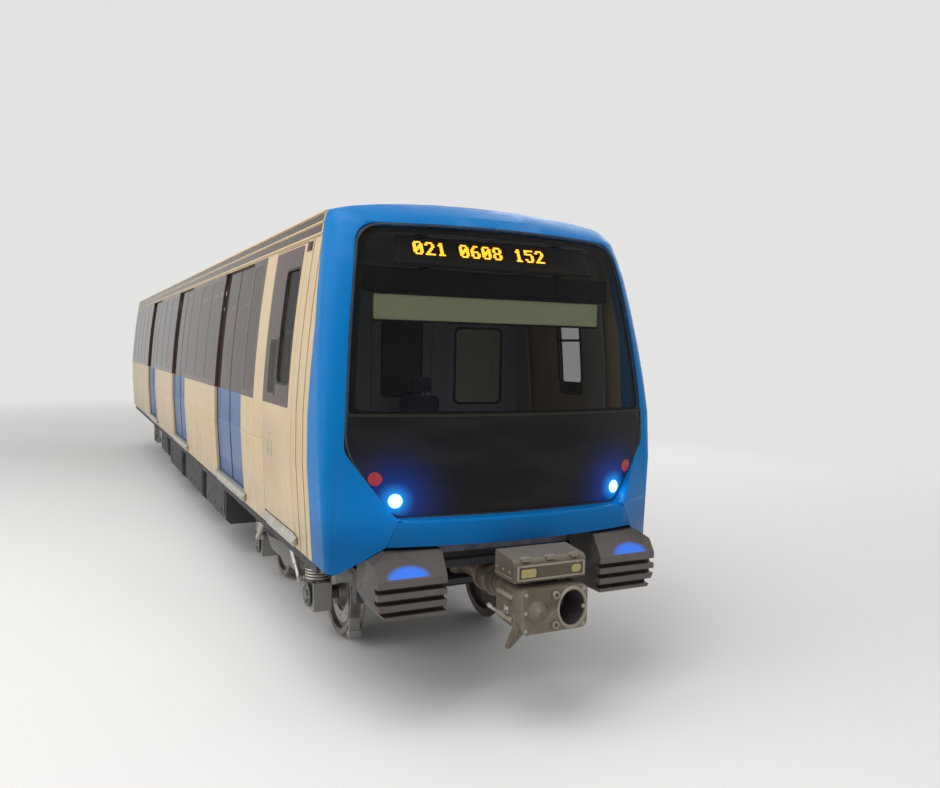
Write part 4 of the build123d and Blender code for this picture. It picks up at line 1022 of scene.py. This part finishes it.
def dressCabDoors():
    heights = between(*cabGlass["size"][2:], 10)
    start, end = cabPane["size"][:2]
    hole, pane, lip, inset = (rect(*cabPane["size"], out)
                              for out in (0, cabPane["lip"], -0.016, -0.028))
    slot, slotInner = (rect(*cabSlot["size"], out) for out in (0, -cabSlot["width"]))
    for side, body in ((1, "cab_door_right"), (-1, "cab_door_left")):
        with making(body + "_border", body, "dark_glass", "band_black") as bm:
            bentPlate(bm, onWall(side, cabGlass["proud"]), cabGlass["thick"],
                      (rect(*cabGlass["size"]), cabGlass["corner"]), (hole, cabPane["corner"]),
                      along=heights)
        with making(body + "_pane", body, "dark_glass", "cab_door_glass") as bm:
            bentPlate(bm, onWall(side, -0.012), 0.006, (pane, cabPane["corner"]), along=heights)
        with making(body + "_pane_frame", body, "bogie_rubber") as bm:
            bentPlate(bm, onWall(side, -0.036), 0.009, (pane, 0.06), (inset, 0.04), along=heights)
            bentPlate(bm, onWall(side, 0.0045), 0.0160, (pane, cabPane["corner"]), (lip, 0.036),
                      along=heights)
            bentPlate(bm, onWall(side, -0.020), 0.014, (rect(start, end, *cabPane["bar"]), 0.0))
            edges = (start - cabPane["lip"], end + cabPane["lip"])
            bentPlate(bm, onWall(side, -0.002), 0.036, (rect(*edges, *cabPane["plate"]), 0.0))
        with making(body + "_slot_frame", body, "band_black") as bm:
            bentPlate(bm, onWall(side, 0.006), 0.004, (slot, 0.02), (slotInner, 0.014),
                      along=cabSlot["cuts"])
        with making(body + "_slot", body, "gloss_black", "display_black") as bm:
            bentPlate(bm, onWall(side, 0.004), 0.002, (slotInner, 0.014), along=cabSlot["cuts"])
        with making(body + "_handle", body, "pole_steel", "sill_metal") as bm:
            outer, inner = (rect(*cabHandle["size"], out) for out in (0, -cabHandle["width"]))
            bentPlate(bm, onWall(side, 0.003), 0.008, (outer, 0.02), (inner, 0.014))
            y0, y1, z0, z1 = cabHandle["grip"]
            x = side * (wallHalf((z0 + z1) / 2) - 0.002)
            block(bm, (x, y0, z0), (x + side * 0.009, y1, z1), 0.004)
            y, z = cabHandle["lock"]
            turned(bm, lockProfile, (side * wallHalf(z - 0.01), y, z), "X", 24, side)


# dark strips painted as shade in the cream grooves between the roof-edge ribs: rows, length and how
# proud
grooveShade = {"rows": ((3.530, 3.588), (3.618, 3.668)), "length": (-7.925, 8.630), "proud": 0.0015}
vent = {"size": (-7.745, -7.600, 3.405, 3.480), "ribs": 5, "first": 0.012, "pitch": 0.013}
# equipment covers with quarter-turn locks along the skirt
covers = {"length": ((-3.75, -2.75), (-2.55, -1.6), (0.45, 1.45), (1.65, 2.65), (4.9, 5.9),
                     (6.4, 7.4)),
          "heights": (1.22, 1.62), "width": 0.006, "cut": 1.4, "lockZ": 1.56, "lockIn": 0.06,
          "lock": [(-0.002, 0.0), (0.004, 0.0), (0.003, 0.014), (-0.002, 0.016)]}
treads = {"doorways": (-4.8, -0.55, 3.7), "x": (1.394, 1.408, 1.422, 1.436), "z": 1.1695,
          "half": (0.003, 0.78, 0.003)}


def dressSides():
    # painted shade: dark strips laid in the grooves between the ribs along the roof edge, which are
    # cream
    with making("roof_edge_groove_shade", "body", "band_black") as bm:
        for side in (1, -1):
            for row in grooveShade["rows"]:
                bentPlate(bm, onWall(side, grooveShade["proud"]), 0.003,
                          (rect(*grooveShade["length"], *row), 0.004), along=between(*row, 2))
    with making("cab_vents", "body", "band_black") as bm:
        start, end, low, _ = vent["size"]
        for side in (1, -1):
            bentPlate(bm, onWall(side, 0.003), 0.004, (rect(*vent["size"]), 0.006))
            for k in range(vent["ribs"]):
                z = low + vent["first"] + k * vent["pitch"]
                x = side * (wallHalf(z) + 0.003)
                block(bm, (x, start + 0.01, z - 0.003), (x + side * 0.004, end - 0.01, z + 0.003),
                      0.001)
    with making("skirt_covers", "body", "body_cream") as bm:
        for side in (1, -1):
            for start, end in covers["length"]:
                outer, inner = (rect(start, end, *covers["heights"], out)
                                for out in (0, -covers["width"]))
                bentPlate(bm, onWall(side, 0.0015), 0.004, (outer, 0.02), (inner, 0.016),
                          along=(covers["cut"],))
                for y in (start + covers["lockIn"], end - covers["lockIn"]):
                    place = (side * wallHalf(covers["lockZ"]), y, covers["lockZ"])
                    turned(bm, covers["lock"], place, "X", 20, side)
    with making("threshold_treads", "body", "sill_metal") as bm:
        for side in (1, -1):
            for middle in treads["doorways"]:
                for x in treads["x"]:
                    blockAt(bm, (side * x, middle, treads["z"]), treads["half"], 0.001)


# Panes and their rubber frames in the walls across the car

# pane's size, its height, y of its front, y of the wall's face, depth of the wall, look
crossWalls = {
    "bulkhead": ((0.270, 0.390), 2.490, -6.312, -6.330, 0.040, "milky_glass"),
    "bulkhead_door": ((0.210, 0.380), 2.560, -6.311, -6.326, 0.036, "dark_glass"),
    "end_door": ((0.210, 0.380), 2.560, 8.672, 8.656, 0.036, "dark_glass"),
    "end_wall": ((0.260, 0.430), 2.700, 8.668, 8.640, 0.060, "dark_glass"),
}
# wall, x and name of each pane; a pane in a door rides on it
crossPanes = [
    ("bulkhead", 0.860, "bulkhead_pane_right"), ("bulkhead", -0.860, "bulkhead_pane_left"),
    ("bulkhead_door", 0, "bulkhead_door_pane"), ("end_door", 0, "end_door_pane"),
    ("end_wall", 0.850, "end_wall_pane_right"), ("end_wall", -0.850, "end_wall_pane_left"),
]


def dressCrossWalls():
    for wallName, x, name in crossPanes:
        half, z, y, face, deep, look = crossWalls[wallName]
        body = wallName if "door" in wallName else "body"
        pane, outer, inner = (rectAt(x, z, *half, out) for out in (0.001, 0.016, -0.012))
        with making(name, body, "dark_glass", look) as bm:
            bentPlate(bm, onFlat(y), 0.006, (pane, 0.05))
        with making(name + "_frame", body, "bogie_rubber", edge=0.001) as bm:
            for place in (face - 0.003, face + deep - 0.001):
                bentPlate(bm, onFlat(place), 0.004, (outer, 0.06), (inner, 0.05))


# Inside the cab: screens, switches and the controller on the desk; lights in the ceiling

# start and end of each sloping face, as y and z
deskTop = {"slope": ((-8.13, 1.950), (-7.74, 1.890)), "hood": ((-8.20, 2.060), (-8.13, 1.950))}
# face, x, how far along the face, size, lift
deskPanels = [("hood", x, 0.062, (0.30, 0.110, 0.020), 0.004) for x in (-0.42, 0.0, 0.42)] + [
    ("slope", -0.80, 0.19, (0.34, 0.26, 0.012), 0.004),
    ("slope", 0.80, 0.19, (0.34, 0.26, 0.012), 0.004),
    ("slope", 0.0, 0.20, (0.62, 0.22, 0.008), 0.002),
]
deskScreen = {"size": (0.26, 0.084, 0.006), "lift": 0.014}
deskSwitches = {"x": 0.80, "first": (-0.12, 0.11), "pitch": (0.06, 0.075), "count": (5, 3)}
ceilingLights = {"x": 0.55, "starts": (-6.0, -3.1, -0.2, 2.7, 5.6), "half": (0.07, 1.3, 0.012),
                 "z": 3.520}


# a point on a sloping face, with the face's directions along and out
def deskPoint(row, x, part, lift):
    (y0, z0), (y1, z1) = deskTop[row]
    ahead = Vector((0, y1 - y0, z1 - z0)).normalized()
    up = Vector((1, 0, 0)).cross(ahead)
    return Vector((x, y0, z0)) + ahead * part + up * lift, ahead, up


def deskBlock(bm, row, x, part, size, lift, edge=0.003):
    centre, ahead, up = deskPoint(row, x, part, lift)
    turn = Matrix((Vector((1, 0, 0)), ahead, up)).transposed().to_4x4()
    blockAt(bm, centre, Vector(size) / 2, edge, turn)


def dressDesk():
    with making("desk_panels", "body", "desk_black", "display_black") as bm:
        for row in deskPanels:
            deskBlock(bm, *row)
    with making("desk_screens", "body", "screen_glass", "band_black") as bm:
        for row, x, part, _, _ in deskPanels[:3]:
            deskBlock(bm, row, x, part, deskScreen["size"], deskScreen["lift"], 0.002)
    (firstX, firstPart), (pitchX, pitchPart) = deskSwitches["first"], deskSwitches["pitch"]
    columns, rows = deskSwitches["count"]
    with making("desk_controls", "body", "sill_metal", "pole_steel") as bm:
        for middle in (-deskSwitches["x"], deskSwitches["x"]):
            for row in range(rows):
                for column in range(columns):
                    x = middle + firstX + column * pitchX
                    centre, _, up = deskPoint("slope", x, firstPart + row * pitchPart, 0.010)
                    rod(bm, centre, centre + up * 0.012, 0.011, 0.009, 12)
        for x in (-0.24, 0.24):             # controller handle and brake valve
            centre, _, up = deskPoint("slope", x, 0.22, 0.004)
            rod(bm, centre, centre + up * 0.03, 0.042, 0.034, 24)
            rod(bm, centre, centre + up * 0.12, 0.009)
            rodAt(bm, centre + up * 0.115, 0.045, 0.018)
    with making("ceiling_lights", "body", "lining_panel", "ceiling_light") as bm:
        half = ceilingLights["half"]
        for x in (-ceilingLights["x"], ceilingLights["x"]):
            for start in ceilingLights["starts"]:
                blockAt(bm, (x, start + half[1], ceilingLights["z"]), half, 0.008)


# Driver's seat: pads blown up by a cloth simulation on a frame of their own

seat = {
    # name: middle, size, fill, greatest swell
    "pads": {
        "seat_cushion": ((0, -7.000, 1.622), (0.452, 0.442, 0.086), 0.75, 0.014),
        "seat_back": ((0, -6.7975, 1.930), (0.432, 0.071, 0.590), 0.7, 0.012),
        "seat_head_rest": ((0, -6.7975, 2.318), (0.236, 0.068, 0.148), 0.8, 0.011),
    },
    "corner": 0.07, "edge": 0.022, "voxel": 0.006, "pressure": 4.0, "frames": 20,
    "channels": (-0.28, 0.0, 0.28), "channel": 0.006, "channelDeep": 0.007,
    "rim": 0.005, "rimDeep": 0.004,
    "pedestal": [(1.170, 0.0), (1.170, 0.18), (1.186, 0.18), (1.200, 0.165), (1.200, 0.075),
                 (1.220, 0.056), (1.400, 0.055), (1.402, 0.066), (1.430, 0.066), (1.432, 0.048),
                 (1.560, 0.048), (1.560, 0.0)],
}


def padShape(name, middle, size):
    bm = bmesh.new()
    thinnest = min(range(3), key=lambda k: size[k])
    shape = Matrix.Translation(middle) @ Matrix.Diagonal((*size, 1))
    bmesh.ops.create_cube(bm, size=1, matrix=shape)
    rim = [edge for edge in bm.edges
           if abs((edge.verts[0].co - edge.verts[1].co)[thinnest]) > size[thinnest] * 0.9]
    bevelled(bm, rim, seat["corner"] * min(1.0, size[0] / 0.43), 6)
    sharp = [edge for edge in bm.edges if edge.calc_face_angle(0) > 1.2]
    bevelled(bm, sharp, seat["edge"], 3)
    bmesh.ops.recalc_face_normals(bm, faces=bm.faces)
    return addPiece(name, bm, finishes["seat_fabric"]), thinnest


def swell(piece, greatest):
    remesh = piece.modifiers.new("remesh", "REMESH")
    remesh.mode = "VOXEL"
    remesh.voxel_size = seat["voxel"]
    freeze(piece)
    start = [vert.co.copy() for vert in piece.data.vertices]
    soft = piece.modifiers.new("cloth", "CLOTH")
    soft.settings.use_pressure = True
    soft.settings.uniform_pressure_force = seat["pressure"]
    soft.settings.effector_weights.gravity = 0
    soft.settings.quality = 5
    soft.point_cache.frame_start = 1
    soft.point_cache.frame_end = seat["frames"]
    scene = bpy.context.scene
    for count in range(1, seat["frames"] + 1):
        scene.frame_set(count)
    freeze(piece)
    scene.frame_set(1)
    for vert, origin in zip(piece.data.vertices, start):
        move = vert.co - origin
        if move.length > greatest:
            vert.co = origin + move * (greatest / move.length)


def freeze(piece):
    graph = bpy.context.evaluated_depsgraph_get()
    shape = bpy.data.meshes.new_from_object(piece.evaluated_get(graph), depsgraph=graph)
    old = piece.data
    piece.modifiers.clear()
    piece.data = shape
    bpy.data.meshes.remove(old)


# sewn channels across the pad's two faces, and a seam drawn in round its rim
def stitch(mesh, middle, size, thin, channels):
    for vert in mesh.vertices:
        local = vert.co - Vector(middle)
        for line in channels if abs(local[thin]) > size[thin] * 0.35 else ():
            gap = (local.x - line * size[0]) / seat["channel"]
            dip = math.exp(-gap * gap / 2) * seat["channelDeep"]
            vert.co[thin] -= math.copysign(dip, local[thin])
        rim = math.exp(-(local[thin] / seat["rim"]) ** 2 / 2) * seat["rimDeep"]
        local[thin] = 0
        if local.length > size[0] * 0.3:
            vert.co -= local.normalized() * rim


def makeSeat():
    for name, (middle, size, fill, greatest) in seat["pads"].items():
        piece, thin = padShape("driver_" + name, middle, size)
        swell(piece, greatest)
        stitch(piece.data, middle, size, thin, () if "head" in name else seat["channels"])
        smoothShaded(piece.data, 80)
        if not piece.data.materials:
            piece.data.materials.append(finishes["seat_fabric"])
        finer = piece.modifiers.new("finer", "SUBSURF")
        finer.levels = finer.render_levels = 1
        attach(piece, "body")
        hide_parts("driver_seat")
    bm = bmesh.new()
    turned(bm, seat["pedestal"], (0, -7.0, 0), "Z", 40)
    block(bm, (-0.20, -7.19, 1.545), (0.20, -6.80, 1.572), 0.008)
    for x in (-0.12, 0.12):             # straps up the back
        block(bm, (x - 0.02, -6.84, 1.55), (x + 0.02, -6.775, 1.60), 0.006)
        block(bm, (x - 0.02, -6.800, 1.56), (x + 0.02, -6.780, 2.10), 0.006)
    for x in (-0.05, 0.05):             # stalks of the head rest
        rod(bm, (x, -6.7975, 2.12), (x, -6.7975, 2.30), 0.007)
    for side in (-1, 1):                # arm rests
        x = side * 0.255
        block(bm, (x - 0.028, -7.145, 1.848), (x + 0.028, -6.82, 1.890), 0.014)
        rod(bm, (x, -6.84, 1.868), (side * 0.10, -6.788, 1.868), 0.014)
    rod(bm, (0.10, -7.16, 1.545), (0.16, -7.225, 1.53), 0.007)      # height lever
    frameOfSeat = newPiece("driver_seat_frame", bm, "body", "seat_fabric", "desk_black")
    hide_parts("driver_seat")


# Bogies: springs, covers, dampers, brake shoes, guards; the discs turn with the wheels

bogieRows = [("front_bogie", -5.8), ("rear_bogie", 5.6)]
axle = {"half": 1.05, "z": 0.42}
spring = {"x": 0.985, "foot": 0.566, "radius": 0.116, "wire": 0.011, "turns": 4.5, "height": 0.118,
          "seatHalf": (0.05, 0.012, 0.0105), "seatZ": 0.5455, "seatApart": 0.10}
axleCover = {"profile": [(1.085, 0.0), (1.112, 0.0), (1.112, 0.060), (1.104, 0.068), (1.104, 0.098),
                         (1.098, 0.104), (1.085, 0.104)], "boltX": 1.104, "boltRing": 0.083}
# distances are from the middle of the car and from the axle; z is from the ground
damper = {"x": 1.118, "foot": (0.16, 0.53), "top": (0.42, 0.752), "tube": 0.034, "rod": 0.026,
          "pins": (1.06, 1.05), "pinEnd": 1.142, "eye": (1.100, 1.136), "bracketX": 1.075}
brake = {"shoe": [(0.722, 0.399), (0.800, 0.398), (0.800, 0.440), (0.722, 0.440)], "angle": 26,
         "x": 0.761, "back": 0.455, "hangerZ": (0.40, 0.64), "pin": (0.74, 0.91), "pinZ": 0.62,
         "cylinder": 0.13}
railGuard = {"x": 0.76, "y": 1.395, "arm": 0.93}
disc = {"profile": [(0.764, 0.175), (0.778, 0.180), (0.778, 0.285), (0.764, 0.290)],
        "boltX": 0.778, "boltRing": 0.232}


# side, end and y of each wheel of a bogie
def wheelCorners(centre):
    return [(side, end, centre + end * axle["half"]) for side in (-1, 1) for end in (-1, 1)]


# bolt heads in a ring on a face that stands across an axle
def boltRing(bm, side, x, y, reach, count, height):
    for k in range(count):
        turn = math.tau * k / count
        place = (side * x, y + reach * math.cos(turn), axle["z"] + reach * math.sin(turn))
        boltHead(bm, place, "X", side, 0.009, height)


def pinAcross(bm, side, start, end, y, z, radius, sides=16):
    rod(bm, (side * start, y, z), (side * end, y, z), radius, sides=sides)


def addDamper(bm, side, end, y):
    x, bracket = side * damper["x"], side * damper["bracketX"]
    foot, top = (Vector((x, y - end * away, z)) for away, z in (damper["foot"], damper["top"]))
    rod(bm, foot, foot.lerp(top, 0.55), damper["rod"], sides=20)
    rod(bm, foot.lerp(top, 0.45), top, damper["tube"], sides=20)
    for place, inner in zip((foot, top), damper["pins"]):
        pinAcross(bm, side, inner, damper["pinEnd"], place.y, place.z, 0.020)
        pinAcross(bm, side, *damper["eye"], place.y, place.z, 0.034, 20)
    blockAt(bm, (bracket, foot.y, 0.53), (0.02, 0.035, 0.03), 0.005)


def addBrake(bm, side, end, y):
    half = brake["angle"] / 2
    turned(bm, brake["shoe"], (0, y, axle["z"]), "X", 6, side, closed=True,
           angle=math.radians(brake["angle"]), begin=math.radians(end * 90 - half))
    x, back = side * brake["x"], y - end * brake["back"]
    low, top = brake["hangerZ"]
    block(bm, (x - 0.030, back - 0.018, low), (x + 0.030, back + 0.018, top), 0.006)
    pinAcross(bm, side, *brake["pin"], back, brake["pinZ"], 0.022)
    rod(bm, (x, back, axle["z"]), (x, back - end * brake["cylinder"], axle["z"]), 0.060, 0.050, 24)


def dressBogies():
    for bogie, centre in bogieRows:
        corners = wheelCorners(centre)
        with making(bogie + "_springs", bogie, "bogie_paint", "wheel_steel") as bm:
            for side, _, y in corners:
                coil(bm, (side * spring["x"], y, spring["foot"]),
                     *(spring[k] for k in ("radius", "wire", "turns", "height")))
        with making(bogie + "_axle_covers", bogie, "bogie_paint") as bm:
            for side, _, y in corners:
                turned(bm, axleCover["profile"], (0, y, axle["z"]), "X", 36, side)
                boltRing(bm, side, axleCover["boltX"], y, axleCover["boltRing"], 6, 0.009)
                for reach in (-spring["seatApart"], spring["seatApart"]):
                    blockAt(bm, (side * spring["x"], y + reach, spring["seatZ"]),
                            spring["seatHalf"], 0.004)
        with making(bogie + "_dampers", bogie, "bogie_paint", "sill_metal") as bm:
            for corner in corners:
                addDamper(bm, *corner)
        with making(bogie + "_brakes", bogie, "bogie_paint") as bm:
            for corner in corners:
                addBrake(bm, *corner)
    y = bogieRows[0][1] - railGuard["y"]
    with making("front_bogie_rail_guards", "front_bogie", "bogie_paint") as bm:
        for side in (-1, 1):
            x = side * railGuard["x"]
            blockAt(bm, (x, y, 0.365), (0.05, 0.016, 0.235), 0.006)
            block(bm, (x - side * 0.02, y - 0.02, 0.60),
                  (side * (railGuard["arm"] + 0.02), y + 0.02, 0.72), 0.008)
            blockAt(bm, (x, y, 0.13), (0.06, 0.03, 0.03), 0.010)
    for bogie, centre in bogieRows:
        for end, name in ((-1, "front"), (1, "rear")):
            y = centre + end * axle["half"]
            body = f"{bogie}_{name}_wheelset"
            with making(body + "_discs", body, "wheel_steel") as bm:
                for side in (-1, 1):
                    turned(bm, disc["profile"], (0, y, axle["z"]), "X", 48, side, closed=True)
                    boltRing(bm, side, disc["boltX"], y, disc["boltRing"], 8, 0.007)


# Under the floor: pipes on clips, latches and hinges on the cases, straps on the reservoirs

# x of the outer face, y, length, depth of each case
caseRows = [(-1.262, -2.9, 1.5, 0.52), (1.262, -2.9, 1.5, 0.56), (-1.262, -0.9, 1.8, 0.54),
            (1.262, -0.7, 2.2, 0.50), (-1.262, 1.3, 1.7, 0.56), (1.262, 1.9, 1.9, 0.52),
            (-1.262, 3.1, 1.1, 0.48)]
cases = {"latch": 0.45, "foot": 1.05, "hingeZ": 0.875, "ribs": (0.30, 0.5, 0.70), "ribTop": 0.78}
# x, radius
pipes = {"rows": [(0.10, 0.024), (0.16, 0.017), (-0.10, 0.030)], "z": 0.915, "ends": (-3.7, 4.1),
         "clips": [-3.5 + k * 0.92 for k in range(9)]}
reservoir = {"x": (0.48, 0.90), "straps": (3.05, 3.52), "z": 0.78, "radius": (0.1395, 0.145),
             "drainY": 3.28}


# a band round a pipe or vessel that lies along the car
def bandProfile(inner, outer):
    return [(-0.02, inner), (-0.02, outer), (0.02, outer), (0.02, inner)]


def dressUnderfloor():
    with making("case_latches", "body", "underframe_paint") as bm:
        for x, y, length, depth in caseRows:
            side = 1 if x > 0 else -1
            low = cases["foot"] - depth
            count = max(2, round(length / cases["latch"]))
            for k in range(count):
                place = y - length / 2 + length * (k + 0.5) / count
                block(bm, (x - 0.004, place - 0.020, low + 0.02),
                      (x + 0.004 + side * 0.012, place + 0.020, low + 0.075), 0.003)
                rodAt(bm, (x + side * 0.006, place, cases["hingeZ"]), 0.035, 0.010, "Y")
                for rib in cases["ribs"]:
                    z = low + 0.08 + (cases["ribTop"] - low) * rib
                    blockAt(bm, (x, place, z), (0.003, length / count * 0.36, 0.006), 0.002)
    with making("underfloor_pipes", "body", "underframe_paint", "bogie_paint") as bm:
        z, (start, end) = pipes["z"], pipes["ends"]
        for x, radius in pipes["rows"]:
            rod(bm, (x, start, z), (x, end, z), radius, sides=20)
            for y in pipes["clips"]:
                turned(bm, bandProfile(radius - 0.001, radius + 0.006), (x, y, z), "Y", 20,
                       closed=True)
                blockAt(bm, (x, y, z + 0.0225), (0.008, 0.014, 0.0125), 0.002)
        for y in pipes["clips"]:
            block(bm, (-0.15, y - 0.018, z + 0.030), (0.20, y + 0.018, z + 0.040), 0.003)
    with making("reservoir_straps", "body", "sill_metal") as bm:
        for x in reservoir["x"]:
            for y in reservoir["straps"]:
                turned(bm, bandProfile(*reservoir["radius"]), (x, y, reservoir["z"]), "Y", 40,
                       closed=True)
            rod(bm, (x, reservoir["drainY"], 0.64), (x, reservoir["drainY"], 0.61), 0.014)
            rodAt(bm, (x, reservoir["drainY"], 0.615), 0.03, 0.008)


# Roof seams and shallow vents, and the rear wall's rails and lamps

roofShape = {"top": 3.82, "shoulder": (1.14, 3.72), "edge": (1.262, 3.6955)}
roofSeams = {"half": 1.25, "y": (-6.2, -3.85, -1.5, 0.85, 3.2, 5.55, 7.9), "x": (-0.95, 0.95),
             "ends": (-7.6, 8.4)}
roofVents = {"y": (-5.0, -2.7, -0.35, 2.0, 4.4, 6.75), "x": (-0.55, 0.55), "half": (0.26, 0.36),
             "ribs": 6, "firstRib": -0.25, "pitch": 0.1, "ribHalf": (0.20, 0.012)}


def roofAt(x):
    half, shoulder = roofShape["shoulder"]
    rise = roofShape["top"] - shoulder
    radius = (half * half + rise * rise) / (2 * rise)
    if abs(x) <= half:
        return roofShape["top"] - radius + math.sqrt(radius * radius - x * x)
    edge, low = roofShape["edge"]
    return shoulder + (abs(x) - half) / (edge - half) * (low - shoulder)


def onRoof(proud):
    return lambda u, v, deep=0.0: Vector((u, v, roofAt(u) + proud - deep))


def dressRoof():
    half, shoulder = roofSeams["half"], roofShape["shoulder"][0]
    across = between(-half, half, 24) + [-shoulder, shoulder]
    with making("roof_seams", "body", "roof_paint") as bm:
        for y in roofSeams["y"]:
            bentPlate(bm, onRoof(0.004), 0.006, (rectAt(0, y, half, 0.014), 0.004), across=across)
        for x in roofSeams["x"]:
            bentPlate(bm, onRoof(0.006), 0.008,
                      (rect(x - 0.012, x + 0.012, *roofSeams["ends"]), 0.004), across=(x,))
    half, ribHalf = roofVents["half"], roofVents["ribHalf"]
    with making("roof_vents", "body", "roof_paint", edge=0.003) as bm:
        for y in roofVents["y"]:
            for x in roofVents["x"]:
                bentPlate(bm, onRoof(0.030), 0.032, (rectAt(x, y, *half), 0.05),
                          across=between(x - half[0], x + half[0], 8))
                for k in range(roofVents["ribs"]):
                    place = y + roofVents["firstRib"] + k * roofVents["pitch"]
                    bentPlate(bm, onRoof(0.038), 0.010, (rectAt(x, place, *ribHalf), 0.006),
                              across=between(x - ribHalf[0], x + ribHalf[0], 6))


rear = {
    "wall": 8.70, "railX": 0.52, "railY": 8.742, "railZ": (1.38, 2.97), "feetZ": (1.40, 2.95),
    "lamp": (1.12, 8.70, 1.45),
    "footProfile": [(0.0, 0.0), (0.006, 0.0), (0.006, 0.026), (0.0, 0.030)],
    "lensProfile": [(-0.002, 0.0), (0.012, 0.0), (0.016, 0.03), (0.012, 0.052), (-0.002, 0.056)],
    "ringProfile": [(-0.002, 0.054), (0.014, 0.056), (0.018, 0.064), (0.010, 0.072),
                    (-0.002, 0.072)],
}


def dressRear():
    y, railY = rear["wall"], rear["railY"]
    low, top = rear["railZ"]
    with making("rear_hand_rails", "body", "pole_steel") as bm:
        for x in (-rear["railX"], rear["railX"]):
            for z in rear["feetZ"]:
                rod(bm, (x, y, z), (x, railY, z), 0.014)
                turned(bm, rear["footProfile"], (x, y, z), "Y", 20)
            rod(bm, (x, railY, low), (x, railY, top), 0.015)
        rod(bm, (0.24, 8.69, 2.02), (0.24, 8.722, 2.02), 0.010)     # the end door's knob
    x, y, z = rear["lamp"]
    for name, slot, profile, closed in (("rear_tail_lamps", "tail_lens", "lensProfile", False),
                                        ("rear_lamp_rings", "display_black", "ringProfile", True)):
        with making(name, "body", slot) as bm:
            for side in (-1, 1):
                turned(bm, rear[profile], (side * x, y, z), "Y", closed=closed)


makeCamera()
makeStage()
makeFinishes()
print("camera, stage and finishes made")
dressAll()
print("CAD pieces dressed")
dressFront()
makeDisplay()
makeVisor()
dressCoupler()
print("front made")
dressLeaves()
dressCabDoors()
dressSides()
dressCrossWalls()
print("sides made")
dressDesk()
makeSeat()
print("cab made")
dressBogies()
dressUnderfloor()
dressRoof()
dressRear()
print("running gear, underfloor, roof and rear made")
